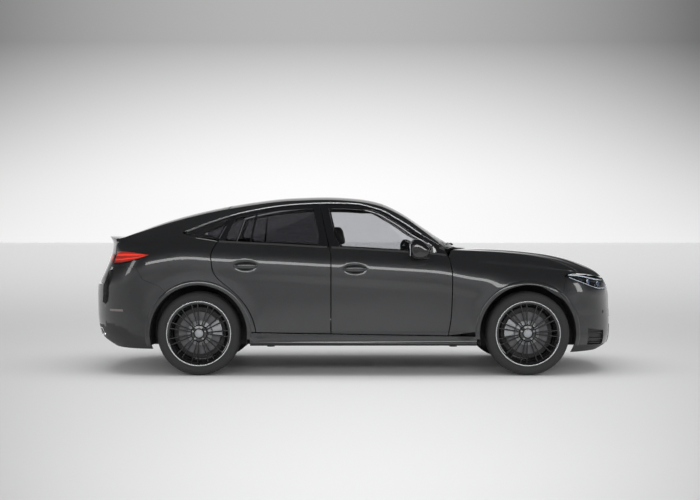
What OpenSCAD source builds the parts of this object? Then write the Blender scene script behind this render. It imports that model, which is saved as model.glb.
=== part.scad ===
// Coupe sport utility vehicle: five doors, sloping tailgate, independent wheels.
// Frame: +X to the front, +Y to the left, +Z up, origin on the road under the middle of the length.

/* [Overall] */
// Overall length, bumper to bumper
length = 4763; // [4650:1:4880]
// Body width without the mirrors
body_w = 1890; // [1850:1:1930]
// Height of the roof above the road
roof_h = 1595; // [1575:1:1625]
// Distance between the axles
wheelbase = 2888; // [2840:1:2940]
// Front axle to the front of the bumper
front_overhang = 853; // [835:1:880]

/* [Wheels] */
// Outer diameter of the tyre
tyre_d = 736; // [710:1:750]
// Width of the tyre
tyre_w = 255; // [235:1:265]
// Diameter of the rim's flange
rim_d = 546; // [500:1:560]
// Distance between the outer faces of two tyres on one axle
track_outer = 1826; // [1800:1:1840]
// Radius of the wheel arch openings
arch_r = 428; // [418:1:440]
// Number of twin spokes in a wheel
spoke_pairs = 11; // [7:1:13]
// Diameter of the brake discs
disc_d = 370; // [330:1:390]

/* [Panels] */
// Gap round a panel that opens
gap = 8; // [7:0.5:9]
// Seam between two fixed panels
seam = 0.6; // [0.4:0.1:0.9]
// Thickness of an outer skin's edge
skin = 8; // [6:1:10]
// Thickness of a whole door below its window
door_t = 85; // [70:1:95]
// Thickness of a window frame
frame_t = 30; // [24:1:36]
// Thickness of the glass
glass_t = 5; // [4:0.5:7]
// Height of the sill's lower edge above the road
sill_h = 262; // [250:1:280]

/* [Hidden] */

// Reference stations along the car
x_front = length / 2;
x_rear = -length / 2;
axle_f = x_front - front_overhang;
axle_r = axle_f - wheelbase;
hub_z = tyre_d / 2;
half_w = body_w / 2;
hub_y = track_outer / 2 - tyre_w / 2;
split_x0 = axle_f - 1734;
corner_f = axle_f + 222;
corner_r = axle_r - 440;

paint = "#3b3d3f";
black = "#141414";
dark_glass = "#2a2b2f";

// Plain helpers
function lerp(a, b, t) = a + (b - a) * t;
function flat(rows) = [for (r = rows) each r];
function along(n) = [for (i = [0:n]) i / n];

// A smooth curve through key points [x, value], straight past its ends
function key_slope(k, i) =
    let (a = max(i - 1, 0), b = min(i + 1, len(k) - 1)) (k[b][1] - k[a][1]) / (k[b][0] - k[a][0]);
function key_span(k, x, i = 0) = (i >= len(k) - 2 || x < k[i + 1][0]) ? i : key_span(k, x, i + 1);
function curve(k, x) =
    let (n = len(k) - 1)
    x <= k[0][0] ? k[0][1] + key_slope(k, 0) * (x - k[0][0])
    : x >= k[n][0] ? k[n][1] + key_slope(k, n) * (x - k[n][0])
    : let (
        i = key_span(k, x), h = k[i + 1][0] - k[i][0], t = (x - k[i][0]) / h,
        m0 = key_slope(k, i) * h, m1 = key_slope(k, i + 1) * h
    )
    k[i][1] * (2 * pow(t, 3) - 3 * t * t + 1) + m0 * (pow(t, 3) - 2 * t * t + t)
    + k[i + 1][1] * (3 * t * t - 2 * pow(t, 3)) + m1 * (pow(t, 3) - t * t);

// Side view lines of the body: centreline, belt, window line
top_keys = [
    [axle_r - 935, roof_h - 367], [axle_r - 780, roof_h - 366], [axle_r - 705, roof_h - 350],
    [axle_r - 640, roof_h - 323], [axle_r - 410, roof_h - 237], [axle_r - 181, roof_h - 170],
    [axle_r + 105, roof_h - 104], [axle_r + 392, roof_h - 54], [split_x0 - 476, roof_h - 17],
    [split_x0 - 244, roof_h - 4], [split_x0 - 18, roof_h], [split_x0 + 206, roof_h - 12],
    [split_x0 + 356, roof_h - 32], [axle_f - 1237, roof_h - 71], [axle_f - 1065, roof_h - 157],
    [axle_f - 893, roof_h - 272], [axle_f - 721, roof_h - 386], [axle_f - 540, roof_h - 490]
];
crown_keys = [
    [axle_r - 935, 24], [axle_r - 705, 34], [axle_r - 410, 50], [axle_r + 105, 48], [split_x0, 44],
    [split_x0 + 206, 45], [axle_f - 1237, 50], [axle_f - 1065, 54], [axle_f - 893, 62], [axle_f - 790, 74], [axle_f - 708, 86]
];
rail_y_keys = [
    [axle_r - 935, half_w - 330], [axle_r - 780, half_w - 305], [axle_r - 410, half_w - 305],
    [axle_r + 105, half_w - 333], [split_x0 - 476, half_w - 333], [split_x0 + 206, half_w - 320],
    [axle_f - 1237, half_w - 305], [axle_f - 893, half_w - 260], [axle_f - 708, half_w - 231]
];
belt_keys = [
    [axle_r - 890, 1040], [axle_r - 640, 1092], [axle_r - 390, 1154], [axle_r - 136, 1190],
    [axle_r + 160, 1174], [axle_r + 410, 1160], [split_x0 - 444, 1146], [split_x0 - 94, 1126],
    [split_x0 + 256, 1108], [axle_f - 1098, 1085], [axle_f - 828, 1066], [axle_f - 708, 1050],
    [axle_f - 528, 1012], [axle_f - 278, 978], [axle_f, 950], [axle_f + 252, 925], [axle_f + 472, 905],
    [axle_f + 780, 880]
];
dlo_keys = [
    [axle_r - 136, 1257], [axle_r + 60, 1336], [axle_r + 240, 1396], [axle_r + 422, 1443],
    [split_x0 - 457, 1490], [split_x0 - 151, 1513], [split_x0 + 120, 1515], [split_x0 + 262, 1506]
];
// Door cut lines in side view, [height, x]
split_keys = [
    [370, split_x0 + 6], [700, split_x0 + 6], [1020, split_x0 + 6], [1060, split_x0 + 3], [1120, split_x0 - 10],
    [1310, split_x0 - 54], [1510, split_x0 - 100]
];
front_cut_keys = [
    [340, axle_f - 706], [500, axle_f - 678], [720, axle_f - 667], [923, axle_f - 669], [1050, axle_f - 698],
    [1110, axle_f - 728], [1160, axle_f - 794], [1237, axle_f - 928], [1320, axle_f - 1048],
    [1397, axle_f - 1176], [1450, axle_f - 1272], [1486, split_x0 + 340], [1506, split_x0 + 262]
];
rear_cut_keys = [
    [370, axle_r + 506], [420, axle_r + 497], [500, axle_r + 474], [600, axle_r + 424], [700, axle_r + 345],
    [780, axle_r + 255], [850, axle_r + 172], [910, axle_r + 130], [1000, axle_r + 113], [1070, axle_r + 110],
    [1174, axle_r + 160], [1300, axle_r + 218], [1396, axle_r + 262]
];
// Window line over the A-pillar, taken from the door's cut
a_pillar_keys = [for (z = [1500:-16:1116]) [curve(front_cut_keys, z), z]];
function window_line(x) = x > split_x0 + 240 ? curve(concat([[split_x0 + 200, 1511.5], [split_x0 + 240, 1508.5]], a_pillar_keys), x) : curve(dlo_keys, x);

// Depth of the body's side below its widest line, by height under the belt
function side_inset(z, zb) = curve([
    [sill_h - 20, 60], [sill_h + 20, 32], [sill_h + 68, 13], [sill_h + 122, 15], [sill_h + 260, 12],
    [zb - 330, 6], [zb - 230, 1], [zb - 150, 5], [zb - 75, 28], [zb, 74]
], z);
// Narrowing of the body in plan view
plan_keys = [
    [axle_r - 1022, 0.895], [axle_r - 640, 0.953], [axle_r - 340, 0.978], [axle_r, 0.991],
    [axle_r + 460, 0.998], [split_x0, 1], [axle_f - 1028, 0.999], [axle_f - 628, 0.994],
    [axle_f - 278, 0.986], [axle_f, 0.974], [axle_f + 222, 0.958], [axle_f + 472, 0.936], [axle_f + 853, 0.9]
];
// Set-back of nose and tail from the ends of the car, by height
nose_keys = [
    [150, 190], [206, 92], [248, 27], [320, 4], [474, 0], [610, 10], [720, 17], [800, 38], [857, 72], [930, 130]
];
tail_keys = [
    [200, 230], [280, 92], [326, 47], [445, 10], [600, 0], [760, 0], [810, 9], [900, 52], [990, 92],
    [1080, 120], [1160, 130], [1200, 118], [1228, 82]
];
function nose_x(z) = x_front - curve(nose_keys, z);
function tail_x(z) = x_rear + curve(tail_keys, z);
function corner(x, z) =
    x > corner_f ? pow(max(0, 1 - pow((x - corner_f) / (nose_x(z) - corner_f), 2)), 1 / 3)
    : x < corner_r ? pow(max(0, 1 - pow((x - corner_r) / (tail_x(z) - corner_r), 2)), 1 / 3) : 1;

// Swelling of the side round the wheel arches
flare = 14;
function arch_swell(x, z) =
    let (r = min(norm([x - axle_f, z - hub_z]), norm([x - axle_r, z - hub_z])))
    flare * exp(-pow((r - arch_r) / 85, 2));
function lower_y(x, z) = (half_w - side_inset(z, curve(belt_keys, x))) * curve(plan_keys, x);

// Nose and tail as swept plan curves: 0 degrees on the flank, 90 on the centreline
function nose(phi, z) =
    let (x = corner_f + (nose_x(z) - corner_f) * sin(phi), zc = min(z, curve(belt_keys, x)))
    [x, (lower_y(x, zc) + arch_swell(x, z)) * pow(cos(phi), 2 / 3), z];
function tail(phi, z) =
    let (x = corner_r + (tail_x(z) - corner_r) * sin(phi), zc = min(z, curve(belt_keys, x)))
    [x, (lower_y(x, zc) + arch_swell(x, z)) * pow(cos(phi), 2 / 3), z];

// Bonnet: a loft from the cowl's curve to the leading edge, w = 0 on the centreline, 1 at the fender
cowl_x = axle_f - 543;
cowl_z = roof_h - 477;
bonnet_half = half_w - 183;
a_base_x = axle_f - 708;
function cowl_pt(w) = [lerp(cowl_x, a_base_x, pow(w, 2.2)), bonnet_half * w, cowl_z - 14 * w * w];
function lead_pt(w) = nose(90 - 62 * w, curve([[0, 857], [0.36, 850], [0.72, 872], [1, 897]], w));
bonnet_keys = [
    [0, 1], [0.17, 0.958], [0.385, 0.9], [0.6, 0.785], [0.7, 0.69], [0.79, 0.57], [0.896, 0.36],
    [0.96, 0.18], [1, 0]
];
function bonnet_pt(u, w) =
    let (c = cowl_pt(w), e = lead_pt(w), g = curve(bonnet_keys, u))
    [lerp(c[0], e[0], u), lerp(c[1], e[1], u), lerp(e[2], c[2], g)];

// Upper edge of the flank: roof rail behind the windscreen's base, bonnet edge ahead of it
function edge(x) =
    x <= a_base_x ? [curve(rail_y_keys, x), curve(top_keys, x) - curve(crown_keys, x)]
    : let (u = (x - cowl_pt(1)[0]) / (lead_pt(1)[0] - cowl_pt(1)[0]), p = bonnet_pt(min(u, 1), 1)) [p[1], p[2]];
bulge_keys = [
    [axle_r - 640, 1.5], [axle_r - 140, 1.25], [axle_r + 360, 1.12], [axle_f - 1028, 1.12],
    [a_base_x, 1.35], [axle_f - 328, 1.7], [axle_f + 472, 1.8]
];
// Half width of the flank at a side view point
function flank_y(x, z) =
    let (zb = curve(belt_keys, x))
    z <= zb ? lower_y(x, z) * corner(x, z) + arch_swell(x, z)
    : let (
        e = edge(x), t = min(1, (z - zb) / max(e[1] - zb, 1)),
        yb = lower_y(x, zb) * corner(x, zb) + arch_swell(x, zb)
    ) e[0] + (yb - e[0]) * (1 - pow(t, curve(bulge_keys, x)));
function flank(x, z) = [x, flank_y(x, z), z];
// Point on the roof, the windscreen or the tailgate's glass; s runs from -1 to 1 across
function top_pt(x, s) =
    let (e = edge(x)) [x, e[0] * s, e[1] + (curve(top_keys, x) - e[1]) * (1 - s * s)];

// A closed panel: an outer grid of points and an inner one set in by the thickness, straight inward on a side,
// straight down on top, or along the plan view's normal on a corner.
// Rows run up and columns forward on the left flank. Cells inside holes [r0, r1, c0, c1] are left open.
SIDE = 1;
TOP = 2;
PLAN = 3;
function grid_normal(g, i, j) =
    let (
        a = g[i][min(j + 1, len(g[0]) - 1)] - g[i][max(j - 1, 0)],
        b = g[min(i + 1, len(g) - 1)][j] - g[max(i - 1, 0)][j], c = cross(b, a)
    ) c / norm(c);
function thick_at(t, i, j) = is_list(t) ? t[i][j] : t;
function inward(g, i, j, way) =
    way == SIDE ? [0, 1, 0] : way == TOP ? [0, 0, 1]
    : let (n = grid_normal(g, i, j)) way == PLAN ? [n[0], n[1], 0] / norm([n[0], n[1]]) : n;
function sunk(g, d, way) = [
    for (i = [0:len(g) - 1]) [for (j = [0:len(g[0]) - 1]) g[i][j] - inward(g, i, j, way) * thick_at(d, i, j)]
];
function in_hole(i, j, holes) =
    len([for (h = holes) if (i >= h[0] && i < h[1] && j >= h[2] && j < h[3]) 1]) > 0;
module panel(g, t, way, holes = []) {
    slab(g, sunk(g, t, way), holes);
}
module slab(g, inner, holes = []) {
    nr = len(g);
    nc = len(g[0]);
    function live(i, j) = i >= 0 && j >= 0 && i < nr - 1 && j < nc - 1 && !in_hole(i, j, holes);
    function at(i, j) = i * nc + j;
    n = nr * nc;
    function wall(a, b) = [[b, a, a + n], [b, a + n, b + n]];
    faces = [
        for (i = [0:nr - 2]) for (j = [0:nc - 2]) if (live(i, j))
            let (a = at(i, j), b = at(i, j + 1), c = at(i + 1, j + 1), d = at(i + 1, j))
            each concat(
                [[a, b, c], [a, c, d], [a + n, c + n, b + n], [a + n, d + n, c + n]],
                live(i - 1, j) ? [] : wall(a, b), live(i, j + 1) ? [] : wall(b, c),
                live(i + 1, j) ? [] : wall(c, d), live(i, j - 1) ? [] : wall(d, a)
            )
    ];
    polyhedron(points = concat(flat(g), flat(inner)), faces = faces);
}
module on_side(left) {
    if (left) children();
    else mirror([0, 1, 0]) children();
}

function door_bottom(x) = lerp(sill_h + 121, sill_h + 93, (x - axle_r - 500) / (axle_f - 700 - axle_r - 500));
function belt(x) = curve(belt_keys, x);
function window_top(x) = window_line(min(x, split_x0 + 262));

// Door rows: 0 to 1 from sill to belt, 1 to 2 from belt to the frame's top
door_rows = [0, 0.07, 0.26, 0.46, 0.66, 0.84, 1, 1.3, 1.62, 1.9, 2];
belt_row = 6;
function row_z(x, v) = v <= 1 ? lerp(door_bottom(x), belt(x), v) : lerp(belt(x), window_top(x) - gap, v - 1);
function edge_x(keys, x_guess, v, shift) =
    let (x1 = curve(keys, row_z(x_guess, v)), x2 = curve(keys, row_z(x1, v))) curve(keys, row_z(x2, v)) + shift;
// Flange widths: wide below the belt where pillars stand behind, narrow on the frame
function flange(v, low, high) = v < 0.84 ? low : v <= 1 ? lerp(low, (low + high) / 2, (v - 0.84) / 0.16) : v < 1.3 ? lerp((low + high) / 2, high, (v - 1) / 0.3) : high;
function door_columns(xa, xb, wa, wb) = concat(
    [xa, xa + wa, xa + wa + 18], [for (s = [1:4]) lerp(xa + wa + 18, xb - wb - 18, s / 5)],
    [xb - wb - 18, xb - wb, xb]
);
function door_grid(ka, kb, la, lb, ha, hb) = [
    for (v = door_rows)
        let (
            xa = edge_x(ka, curve(ka, 900), v, gap / 2), xb = edge_x(kb, curve(kb, 900), v, -gap / 2)
        )
        [for (x = door_columns(xa, xb, flange(v, la, ha), flange(v, lb, hb))) flank(x, row_z(x, v))]
];
function door_thickness(g) = [
    for (i = [0:len(g) - 1]) [
        for (j = [0:len(g[0]) - 1])
            let (full = i < belt_row ? door_t : i == belt_row ? door_t - 20 : frame_t)
            i == 0 || i == len(g) - 1 || j < 2 || j > len(g[0]) - 3 ? skin : full
    ]
];
window_hole = [belt_row, len(door_rows) - 2, 2, 7];
function front_door_grid() = door_grid(split_keys, front_cut_keys, 112, 112, 50, 40);
function rear_door_grid() = door_grid(rear_cut_keys, split_keys, 60, 112, 34, 46);

// Door hinges: an upright pin near the door's leading edge, inside its skin
hinge_r = 6;
hinge_set_back = 96;
hinge_depth = 24;
hinge_zs = [700, 856];
hinge_lug_h = 22;
hinge_ear_h = 14;
hinge_play = 0.3;
hinge_reach = 98;
function hinge_axis(front) =
    let (x = curve(front ? front_cut_keys : split_keys, 800) - hinge_set_back) [x, flank_y(x, 860) - hinge_depth];

module door_pins(front) {
    p = hinge_axis(front);
    for (z = hinge_zs) translate([p[0], p[1], z]) {
        cylinder(r = hinge_r, h = hinge_lug_h + 2 * hinge_ear_h, center = true, $fn = 40);
        translate([-72, -8, -hinge_lug_h / 2]) cube([72, 14, hinge_lug_h]);
    }
}
// Fixed half of the hinges: two bored ears that reach inboard of the door's swing, then forward to the pillar
module hinge_ears(front) {
    p = hinge_axis(front);
    far = front ? 162 : 142;
    for (z = hinge_zs) for (s = [-1, 1])
        translate([p[0], p[1], z + s * (hinge_lug_h + hinge_ear_h + 1) / 2]) linear_extrude(hinge_ear_h, center = true)
            difference() {
                union() {
                    circle(r = hinge_r + 3, $fn = 40);
                    translate([-9, -hinge_reach - 3]) square([18, hinge_reach + 3]);
                    translate([-9, -hinge_reach - 3]) square([far, 12]);
                }
                circle(r = hinge_r + hinge_play, $fn = 40);
            }
}
module door(front) {
    g = front ? front_door_grid() : rear_door_grid();
    panel(g, door_thickness(g), SIDE, [window_hole]);
    door_pins(front);
    door_handle(front);
}
// Pull handle: a bowed grip standing off the skin on two feet
handle_l = 228;
handle_h = 44;
module door_handle(front) {
    x = front ? split_x0 + 216 : axle_r + 414;
    z = front ? 936 : 962;
    y = flank_y(x, z);
    translate([x, y, z]) {
        translate([0, 26, 0]) rotate([0, 90, 0]) linear_extrude(handle_l - 40, center = true)
            scale([1, 0.36]) circle(d = handle_h, $fn = 24);
        for (s = [-1, 1]) translate([s * (handle_l / 2 - 40), 8, 0]) cube([40, 36, 18], center = true);
    }
}
function window_cells(g) = [
    for (i = [window_hole[0]:window_hole[1]]) [for (j = [window_hole[2]:window_hole[3]]) g[i][j]]
];
// Pulls a grid's border in by a distance in side view
function drawn_in(g, d) = [
    for (i = [0:len(g) - 1]) [
        for (j = [0:len(g[0]) - 1])
            let (
                a = g[i][min(j + 1, len(g[0]) - 1)] - g[i][max(j - 1, 0)],
                b = g[min(i + 1, len(g) - 1)][j] - g[max(i - 1, 0)][j],
                da = (j == 0 ? 1 : 0) - (j == len(g[0]) - 1 ? 1 : 0), db = (i == 0 ? 1 : 0) - (i == len(g) - 1 ? 1 : 0)
            ) g[i][j] + d * (da * a / norm(a) + db * b / norm(b))
    ]
];
glass_depth = 7;
module door_glass(front) {
    g = window_cells(front ? front_door_grid() : rear_door_grid());
    panel(sunk(drawn_in(g, seam), glass_depth, SIDE), glass_t, SIDE);
}

// Door mirror: a rounded housing on a foot at the front corner of the window
module mirror_housing() {
    x = axle_f - 905;
    y0 = flank_y(x, 1090);
    foot_z = belt(x) - 46;
    difference() {
        hull() {
            translate([x + 50, y0 + 92, 1098]) scale([0.55, 0.8, 0.62]) sphere(r = 62, $fn = 24);
            translate([x + 30, y0 + 178, 1102]) scale([0.5, 0.45, 0.66]) sphere(r = 74, $fn = 24);
            translate([x - 14, y0 + 138, 1099]) cube([10, 150, 112], center = true);
        }
        translate([x - 30, y0 + 138, 1100]) cube([36, 134, 96], center = true);
    }
    pad = [for (v = along(2)) [for (s = along(2)) flank(x - 22 + 72 * s, foot_z - 14 + 28 * v)]];
    panel(sunk(pad, -40, SIDE), 43, SIDE);
    translate([x + 14, flank_y(x, foot_z) + 66, foot_z + 14]) cube([56, 60, 54], center = true);
}

// Reach of the bracket behind the fender's skin
fender_stay = half_w - 20.5;
// Fixed frame of one side: A-pillar and roof rail, B-pillar and sill
module side_frame() {
    rail_from = window_tip[0] + seam;
    rail_to = axle_f - 770;
    n = 24;
    rail = [
        for (v = [0, 0.5, 1]) [
            for (k = along(n))
                let (x = lerp(rail_from, rail_to, k), z0 = window_line(x) + gap / 2) flank(x, lerp(z0, edge(x)[1] - seam, v))
        ]
    ];
    inner = [
        for (i = [0:2]) [
            for (j = [0:n])
                let (h = rail[2][j][2] - rail[0][j][2], drop = min(22, 0.6 * h))
                rail[i][j] - (i == 0 ? [0, min(26, h), 0] : i == 1 ? [0, min(18, 0.6 * h), drop / 2] : [0, 1, drop])
        ]
    ];
    slab(rail, inner);
    b_face = hinge_axis(false)[1] - hinge_reach;
    foot_z = sill_h + floor_t + 6;
    pillar([
        [split_x0 + 56, b_face - 30, foot_z, 84], [split_x0 + 10, b_face - 30, 1000, 80],
        [split_x0 - 35, b_face - 34, 1120, 76], [split_x0 - 94, half_w - 338, roof_h - 74, 62]
    ]);
    a_face = hinge_axis(true)[1] - hinge_reach;
    a_x = curve(front_cut_keys, 800) + 50;
    pillar([
        [a_x, a_face - 30, foot_z, 64], [a_x, a_face - 30, 940, 64], [a_base_x - 34, a_face - 34, 1050, 50],
        [a_base_x - 64, half_w - 227, 1140, 44]
    ]);
    sill_bar();
    // Bracket that carries the fender
    translate([a_x - 24, a_face - 20, 690]) cube([24, fender_stay - a_face + 20, 24]);
    hinge_ears(true);
    hinge_ears(false);
}
// A post through stations [x, y, z, width]
module pillar(stations) {
    for (i = [0:len(stations) - 2]) hull() for (k = [i, i + 1])
        translate([stations[k][0], stations[k][1], stations[k][2]]) cube([stations[k][3], 60 - 14 * max(0, k - 1), 8], center = true);
}
sill_in = 790;
sill_from = axle_r + arch_r + 24;
sill_to = axle_f - arch_r - 24;
module sill_bar() {
    rows = [sill_h, sill_h + 24, sill_h + 64, sill_h + 84];
    g = [
        for (z = rows) [for (s = along(10)) let (x = lerp(sill_from, sill_to, s)) flank(x, min(z, door_bottom(x) - gap))]
    ];
    slab(g, [for (r = g) [for (q = r) [q[0], sill_in, q[2]]]]);
}

// Rear quarter: a ruled patch from the wheel arch to the door cut, the quarter glass and the tailgate edge
function arch_pt(cx, r, a) = [cx + r * cos(a), hub_z + r * sin(a)];
quarter_window_x = axle_r - 136;
gate_phi = 46;
function gate_edge_x(z) = corner_r + (tail_x(z) - corner_r) * sin(gate_phi);
quarter_low = [[axle_r - 346, 788], [axle_r - 490, 842], [axle_r - 550, 947]];
window_knot = [axle_r - 20, 1202];
window_tip = [quarter_window_x - 26, 1250];
function door_cut_pt(keys, v, shift) =
    let (x = edge_x(keys, curve(keys, 900), v, shift)) [x, row_z(x, v)];
function quarter_outer() =
    let (e = gate_edge_x(1190))
    concat(
        [for (i = [0:belt_row]) door_cut_pt(rear_cut_keys, door_rows[i], -gap / 2)],
        [lerp([axle_r + 156, 1174], window_knot, 0.5), window_knot, window_tip],
        [for (k = [0, 0.16, 0.34, 0.5, 0.66, 0.82, 1]) let (x = lerp(window_tip[0] - 0.3, e, k)) [x, edge(x)[1] - seam]],
        [for (z = [1160, 1090, 1010]) [gate_edge_x(z), z]]
    );
function quarter_inner() =
    let (a = arch_pt(axle_r, arch_r, 128), q = quarter_low)
    concat(
        [for (a = [3, 20, 34, 48, 64, 84, 110, 116, 122, 128]) arch_pt(axle_r, arch_r, a)],
        [for (k = [0.5, 1]) lerp(a, q[0], k)], [for (k = [0.5, 1]) lerp(q[0], q[1], k)], [for (k = [0.5, 1]) lerp(q[1], q[2], k)],
        [for (k = [0.2, 0.4, 0.7, 1]) [lerp(q[2][0], gate_edge_x(950), k), lerp(q[2][1], 950, k)]]
    );
quarter_t = 26;
function quarter_grid() =
    let (a = quarter_inner(), b = quarter_outer())
    [for (v = along(6)) [for (i = [len(a) - 1:-1:0]) let (p = lerp(a[i], b[i], v)) flank(p[0], p[1])]];
// Inner points: level by default, downward along the tailgate's side, forward along its rear face
function quarter_in(g) = [
    for (i = [0:len(g) - 1]) [
        for (j = [0:len(g[0]) - 1])
            let (top_edge = i == len(g) - 1 && j >= 3 && j <= 9)
            j == 0 || (i == len(g) - 1 && j < 3) ? g[i][j] + [quarter_t, -1, 0] : top_edge ? g[i][j] - [0, 1.5, 20]
            : g[i][j] - inward(g, i, j, j < 10 ? PLAN : SIDE) * quarter_t
    ]
];
// Fuel flap: a rounded rectangle of the right quarter panel
flap_x = axle_r - 168;
flap_z = 1002;
flap_l = 216;
flap_h = 132;
module flap_outline(grow) {
    translate([flap_x, flap_z]) offset(r = 30 + grow, $fn = 32) square([flap_l - 60, flap_h - 60], center = true);
}
module flap_prism(grow) {
    rotate([90, 0, 0]) translate([0, 0, -half_w - 40]) linear_extrude(160) flap_outline(grow);
}
module quarter_panel(left) {
    difference() {
        slab(quarter_grid(), quarter_in(quarter_grid()));
        if (!left) flap_prism(gap / 2);
        tail_lamp_prism(seam);
    }
    if (!left) flap_ears();
}
function flap_grid() = [
    for (v = along(4)) [
        for (s = along(5)) flank(flap_x + (s - 0.5) * (flap_l + 40), flap_z + (v - 0.5) * (flap_h + 40))
    ]
];
flap_t = 6;
flap_edge = 30;
flap_pin_r = 3.5;
flap_pin_depth = 16;
flap_pin_x = flap_x + flap_l / 2 - gap / 2 - flap_edge;
flap_pin_y = flank_y(flap_pin_x, flap_z) - flap_pin_depth;
module fuel_flap() {
    intersection() {
        panel(flap_grid(), flap_t, SIDE);
        flap_prism(-gap / 2);
    }
    translate([flap_pin_x, flap_pin_y, flap_z]) {
        cylinder(r = flap_pin_r, h = 56, center = true, $fn = 32);
        translate([-8, -2, -13]) cube([12, flap_pin_depth - 2, 26]);
    }
}
module flap_ears() {
    for (s = [-1, 1]) translate([flap_pin_x, flap_pin_y, flap_z + s * 20.5]) linear_extrude(12, center = true)
        difference() {
            union() {
                circle(r = 6.5, $fn = 32);
                translate([-6.8, -36]) square([10, 36]);
            }
            circle(r = flap_pin_r + hinge_play, $fn = 32);
        }
    translate([flap_pin_x - 9, flap_pin_y - 44, flap_z - 110]) cube([60, 10, 220]);
    for (s = [-1, 1]) translate([flap_pin_x - 9, flap_pin_y - 44, flap_z + s * 100 - 10])
        cube([60, flank_y(flap_pin_x + 20, flap_z + s * 100) - flap_pin_y + 44 - 14, 20]);
}
function quarter_low_z(x) =
    x > window_knot[0] ? lerp(window_knot[1], 1174, (x - window_knot[0]) / (axle_r + 156 - window_knot[0]))
    : lerp(window_tip[1], window_knot[1], (x - window_tip[0]) / (window_knot[0] - window_tip[0]));
function quarter_glass_grid() = [
    for (v = along(3)) [
        for (x = [quarter_window_x + 14, quarter_window_x + 60, window_knot[0], axle_r + 70, axle_r + 150])
            let (
                lo = quarter_low_z(x) + seam, last = x == axle_r + 150,
                hi = window_line(x + (last ? 50 : 0)) + gap / 2 - 3, z = lerp(lo, hi, v),
                xs = last ? curve(rear_cut_keys, z) - gap / 2 - 4 : x
            ) flank(xs, min(z, window_line(xs) + gap / 2 - 3))
    ]
];

// Roof, windscreen and their glass
roof_from = axle_r + 236;
roof_to = axle_f - 1268;
roof_glass_from = roof_from + 210;
roof_glass_to = roof_to - 120;
roof_glass_s = 0.82;
cross_steps = [-1, -0.9, -0.7, -0.45, -0.2, 0, 0.2, 0.45, 0.7, 0.9, 1];
function roof_rows() = concat(
    [for (s = along(2)) lerp(roof_from, roof_glass_from, s)],
    [for (s = [1:5]) lerp(roof_glass_from, roof_glass_to, s / 6)],
    [for (s = along(2)) lerp(roof_glass_to, roof_to, s)]
);
function roof_s(x) = 1 - (seam + 0.6) / edge(x)[0];
module roof_panel() {
    xs = roof_rows();
    cols = [-1, -roof_glass_s, -0.55, -0.2, 0.2, 0.55, roof_glass_s, 1];
    g = [for (x = xs) [for (s = cols) top_pt(x, s * roof_s(x))]];
    t = [for (x = xs) [11, 30, 30, 30, 30, 30, 30, 11]];
    panel(g, t, TOP, [[2, len(xs) - 3, 1, 6]]);
    gate_ears();
}
module roof_glass() {
    xs = [for (i = [2:len(roof_rows()) - 3]) roof_rows()[i]];
    g = [for (x = xs) [for (s = [-roof_glass_s, -0.55, -0.2, 0.2, 0.55, roof_glass_s]) top_pt(x, s * roof_s(x))]];
    panel(drawn_in(g, seam), 12, TOP);
}
// The windscreen's lower edge follows the cowl, its upper edge the roof's header
function screen_pt(u, s) =
    let (x0 = lerp(cowl_x - 14, a_base_x + 4, s * s), x = lerp(x0, roof_to + seam, u)) top_pt(x, s * (1 - lerp(12, 0.9, u) / edge(x)[0]));
module windscreen() {
    panel([for (u = [8:-1:0]) [for (s = cross_steps) screen_pt(u / 8, s)]], glass_t, TOP);
}

// Front fender: a ruled patch from the arch to the door cut, the bonnet edge and the lamp
fender_end_phi = 25;
function phi_x(phi, z) = corner_f + (nose_x(z) - corner_f) * sin(phi);
function fender_outer() =
    let (e = phi_x(fender_end_phi, 900))
    concat(
        [for (i = [0:belt_row]) door_cut_pt(front_cut_keys, door_rows[i], gap / 2)],
        [for (k = [0.03, 0.14, 0.28, 0.44, 0.6, 0.76, 0.88, 1]) let (x = lerp(a_base_x + 10, e, k)) [x, edge(x)[1] - gap / 2]]
    );
function fender_lamp() = [phi_x(lamp_from, 866) - 5, 862];
function fender_inner() =
    let (a = arch_pt(axle_f, arch_r, 44))
    concat(
        [for (k = along(9)) arch_pt(axle_f, arch_r, lerp(177, 44, k))], [lerp(a, fender_lamp(), 0.5), fender_lamp()],
        [for (phi = [lamp_from, 18, fender_end_phi]) let (z = lamp_top(phi) + gap / 2) [phi_x(phi, z) - 4, z]]
    );
function fender_grid() =
    let (a = fender_inner(), b = fender_outer())
    [for (v = along(6)) [for (i = [0:len(a) - 1]) let (p = lerp(a[i], b[i], v)) flank(p[0], p[1])]];
module front_fender() {
    g = fender_grid();
    last = len(g) - 1;
    slab(g, [for (i = [0:last]) [for (j = [0:len(g[0]) - 1]) g[i][j] - (i == last && j > belt_row ? [0, 0.5, skin + 2] : i == last - 1 && j > belt_row ? [0, skin / 2, skin / 2] : [0, skin, 0])]]);
}

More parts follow.
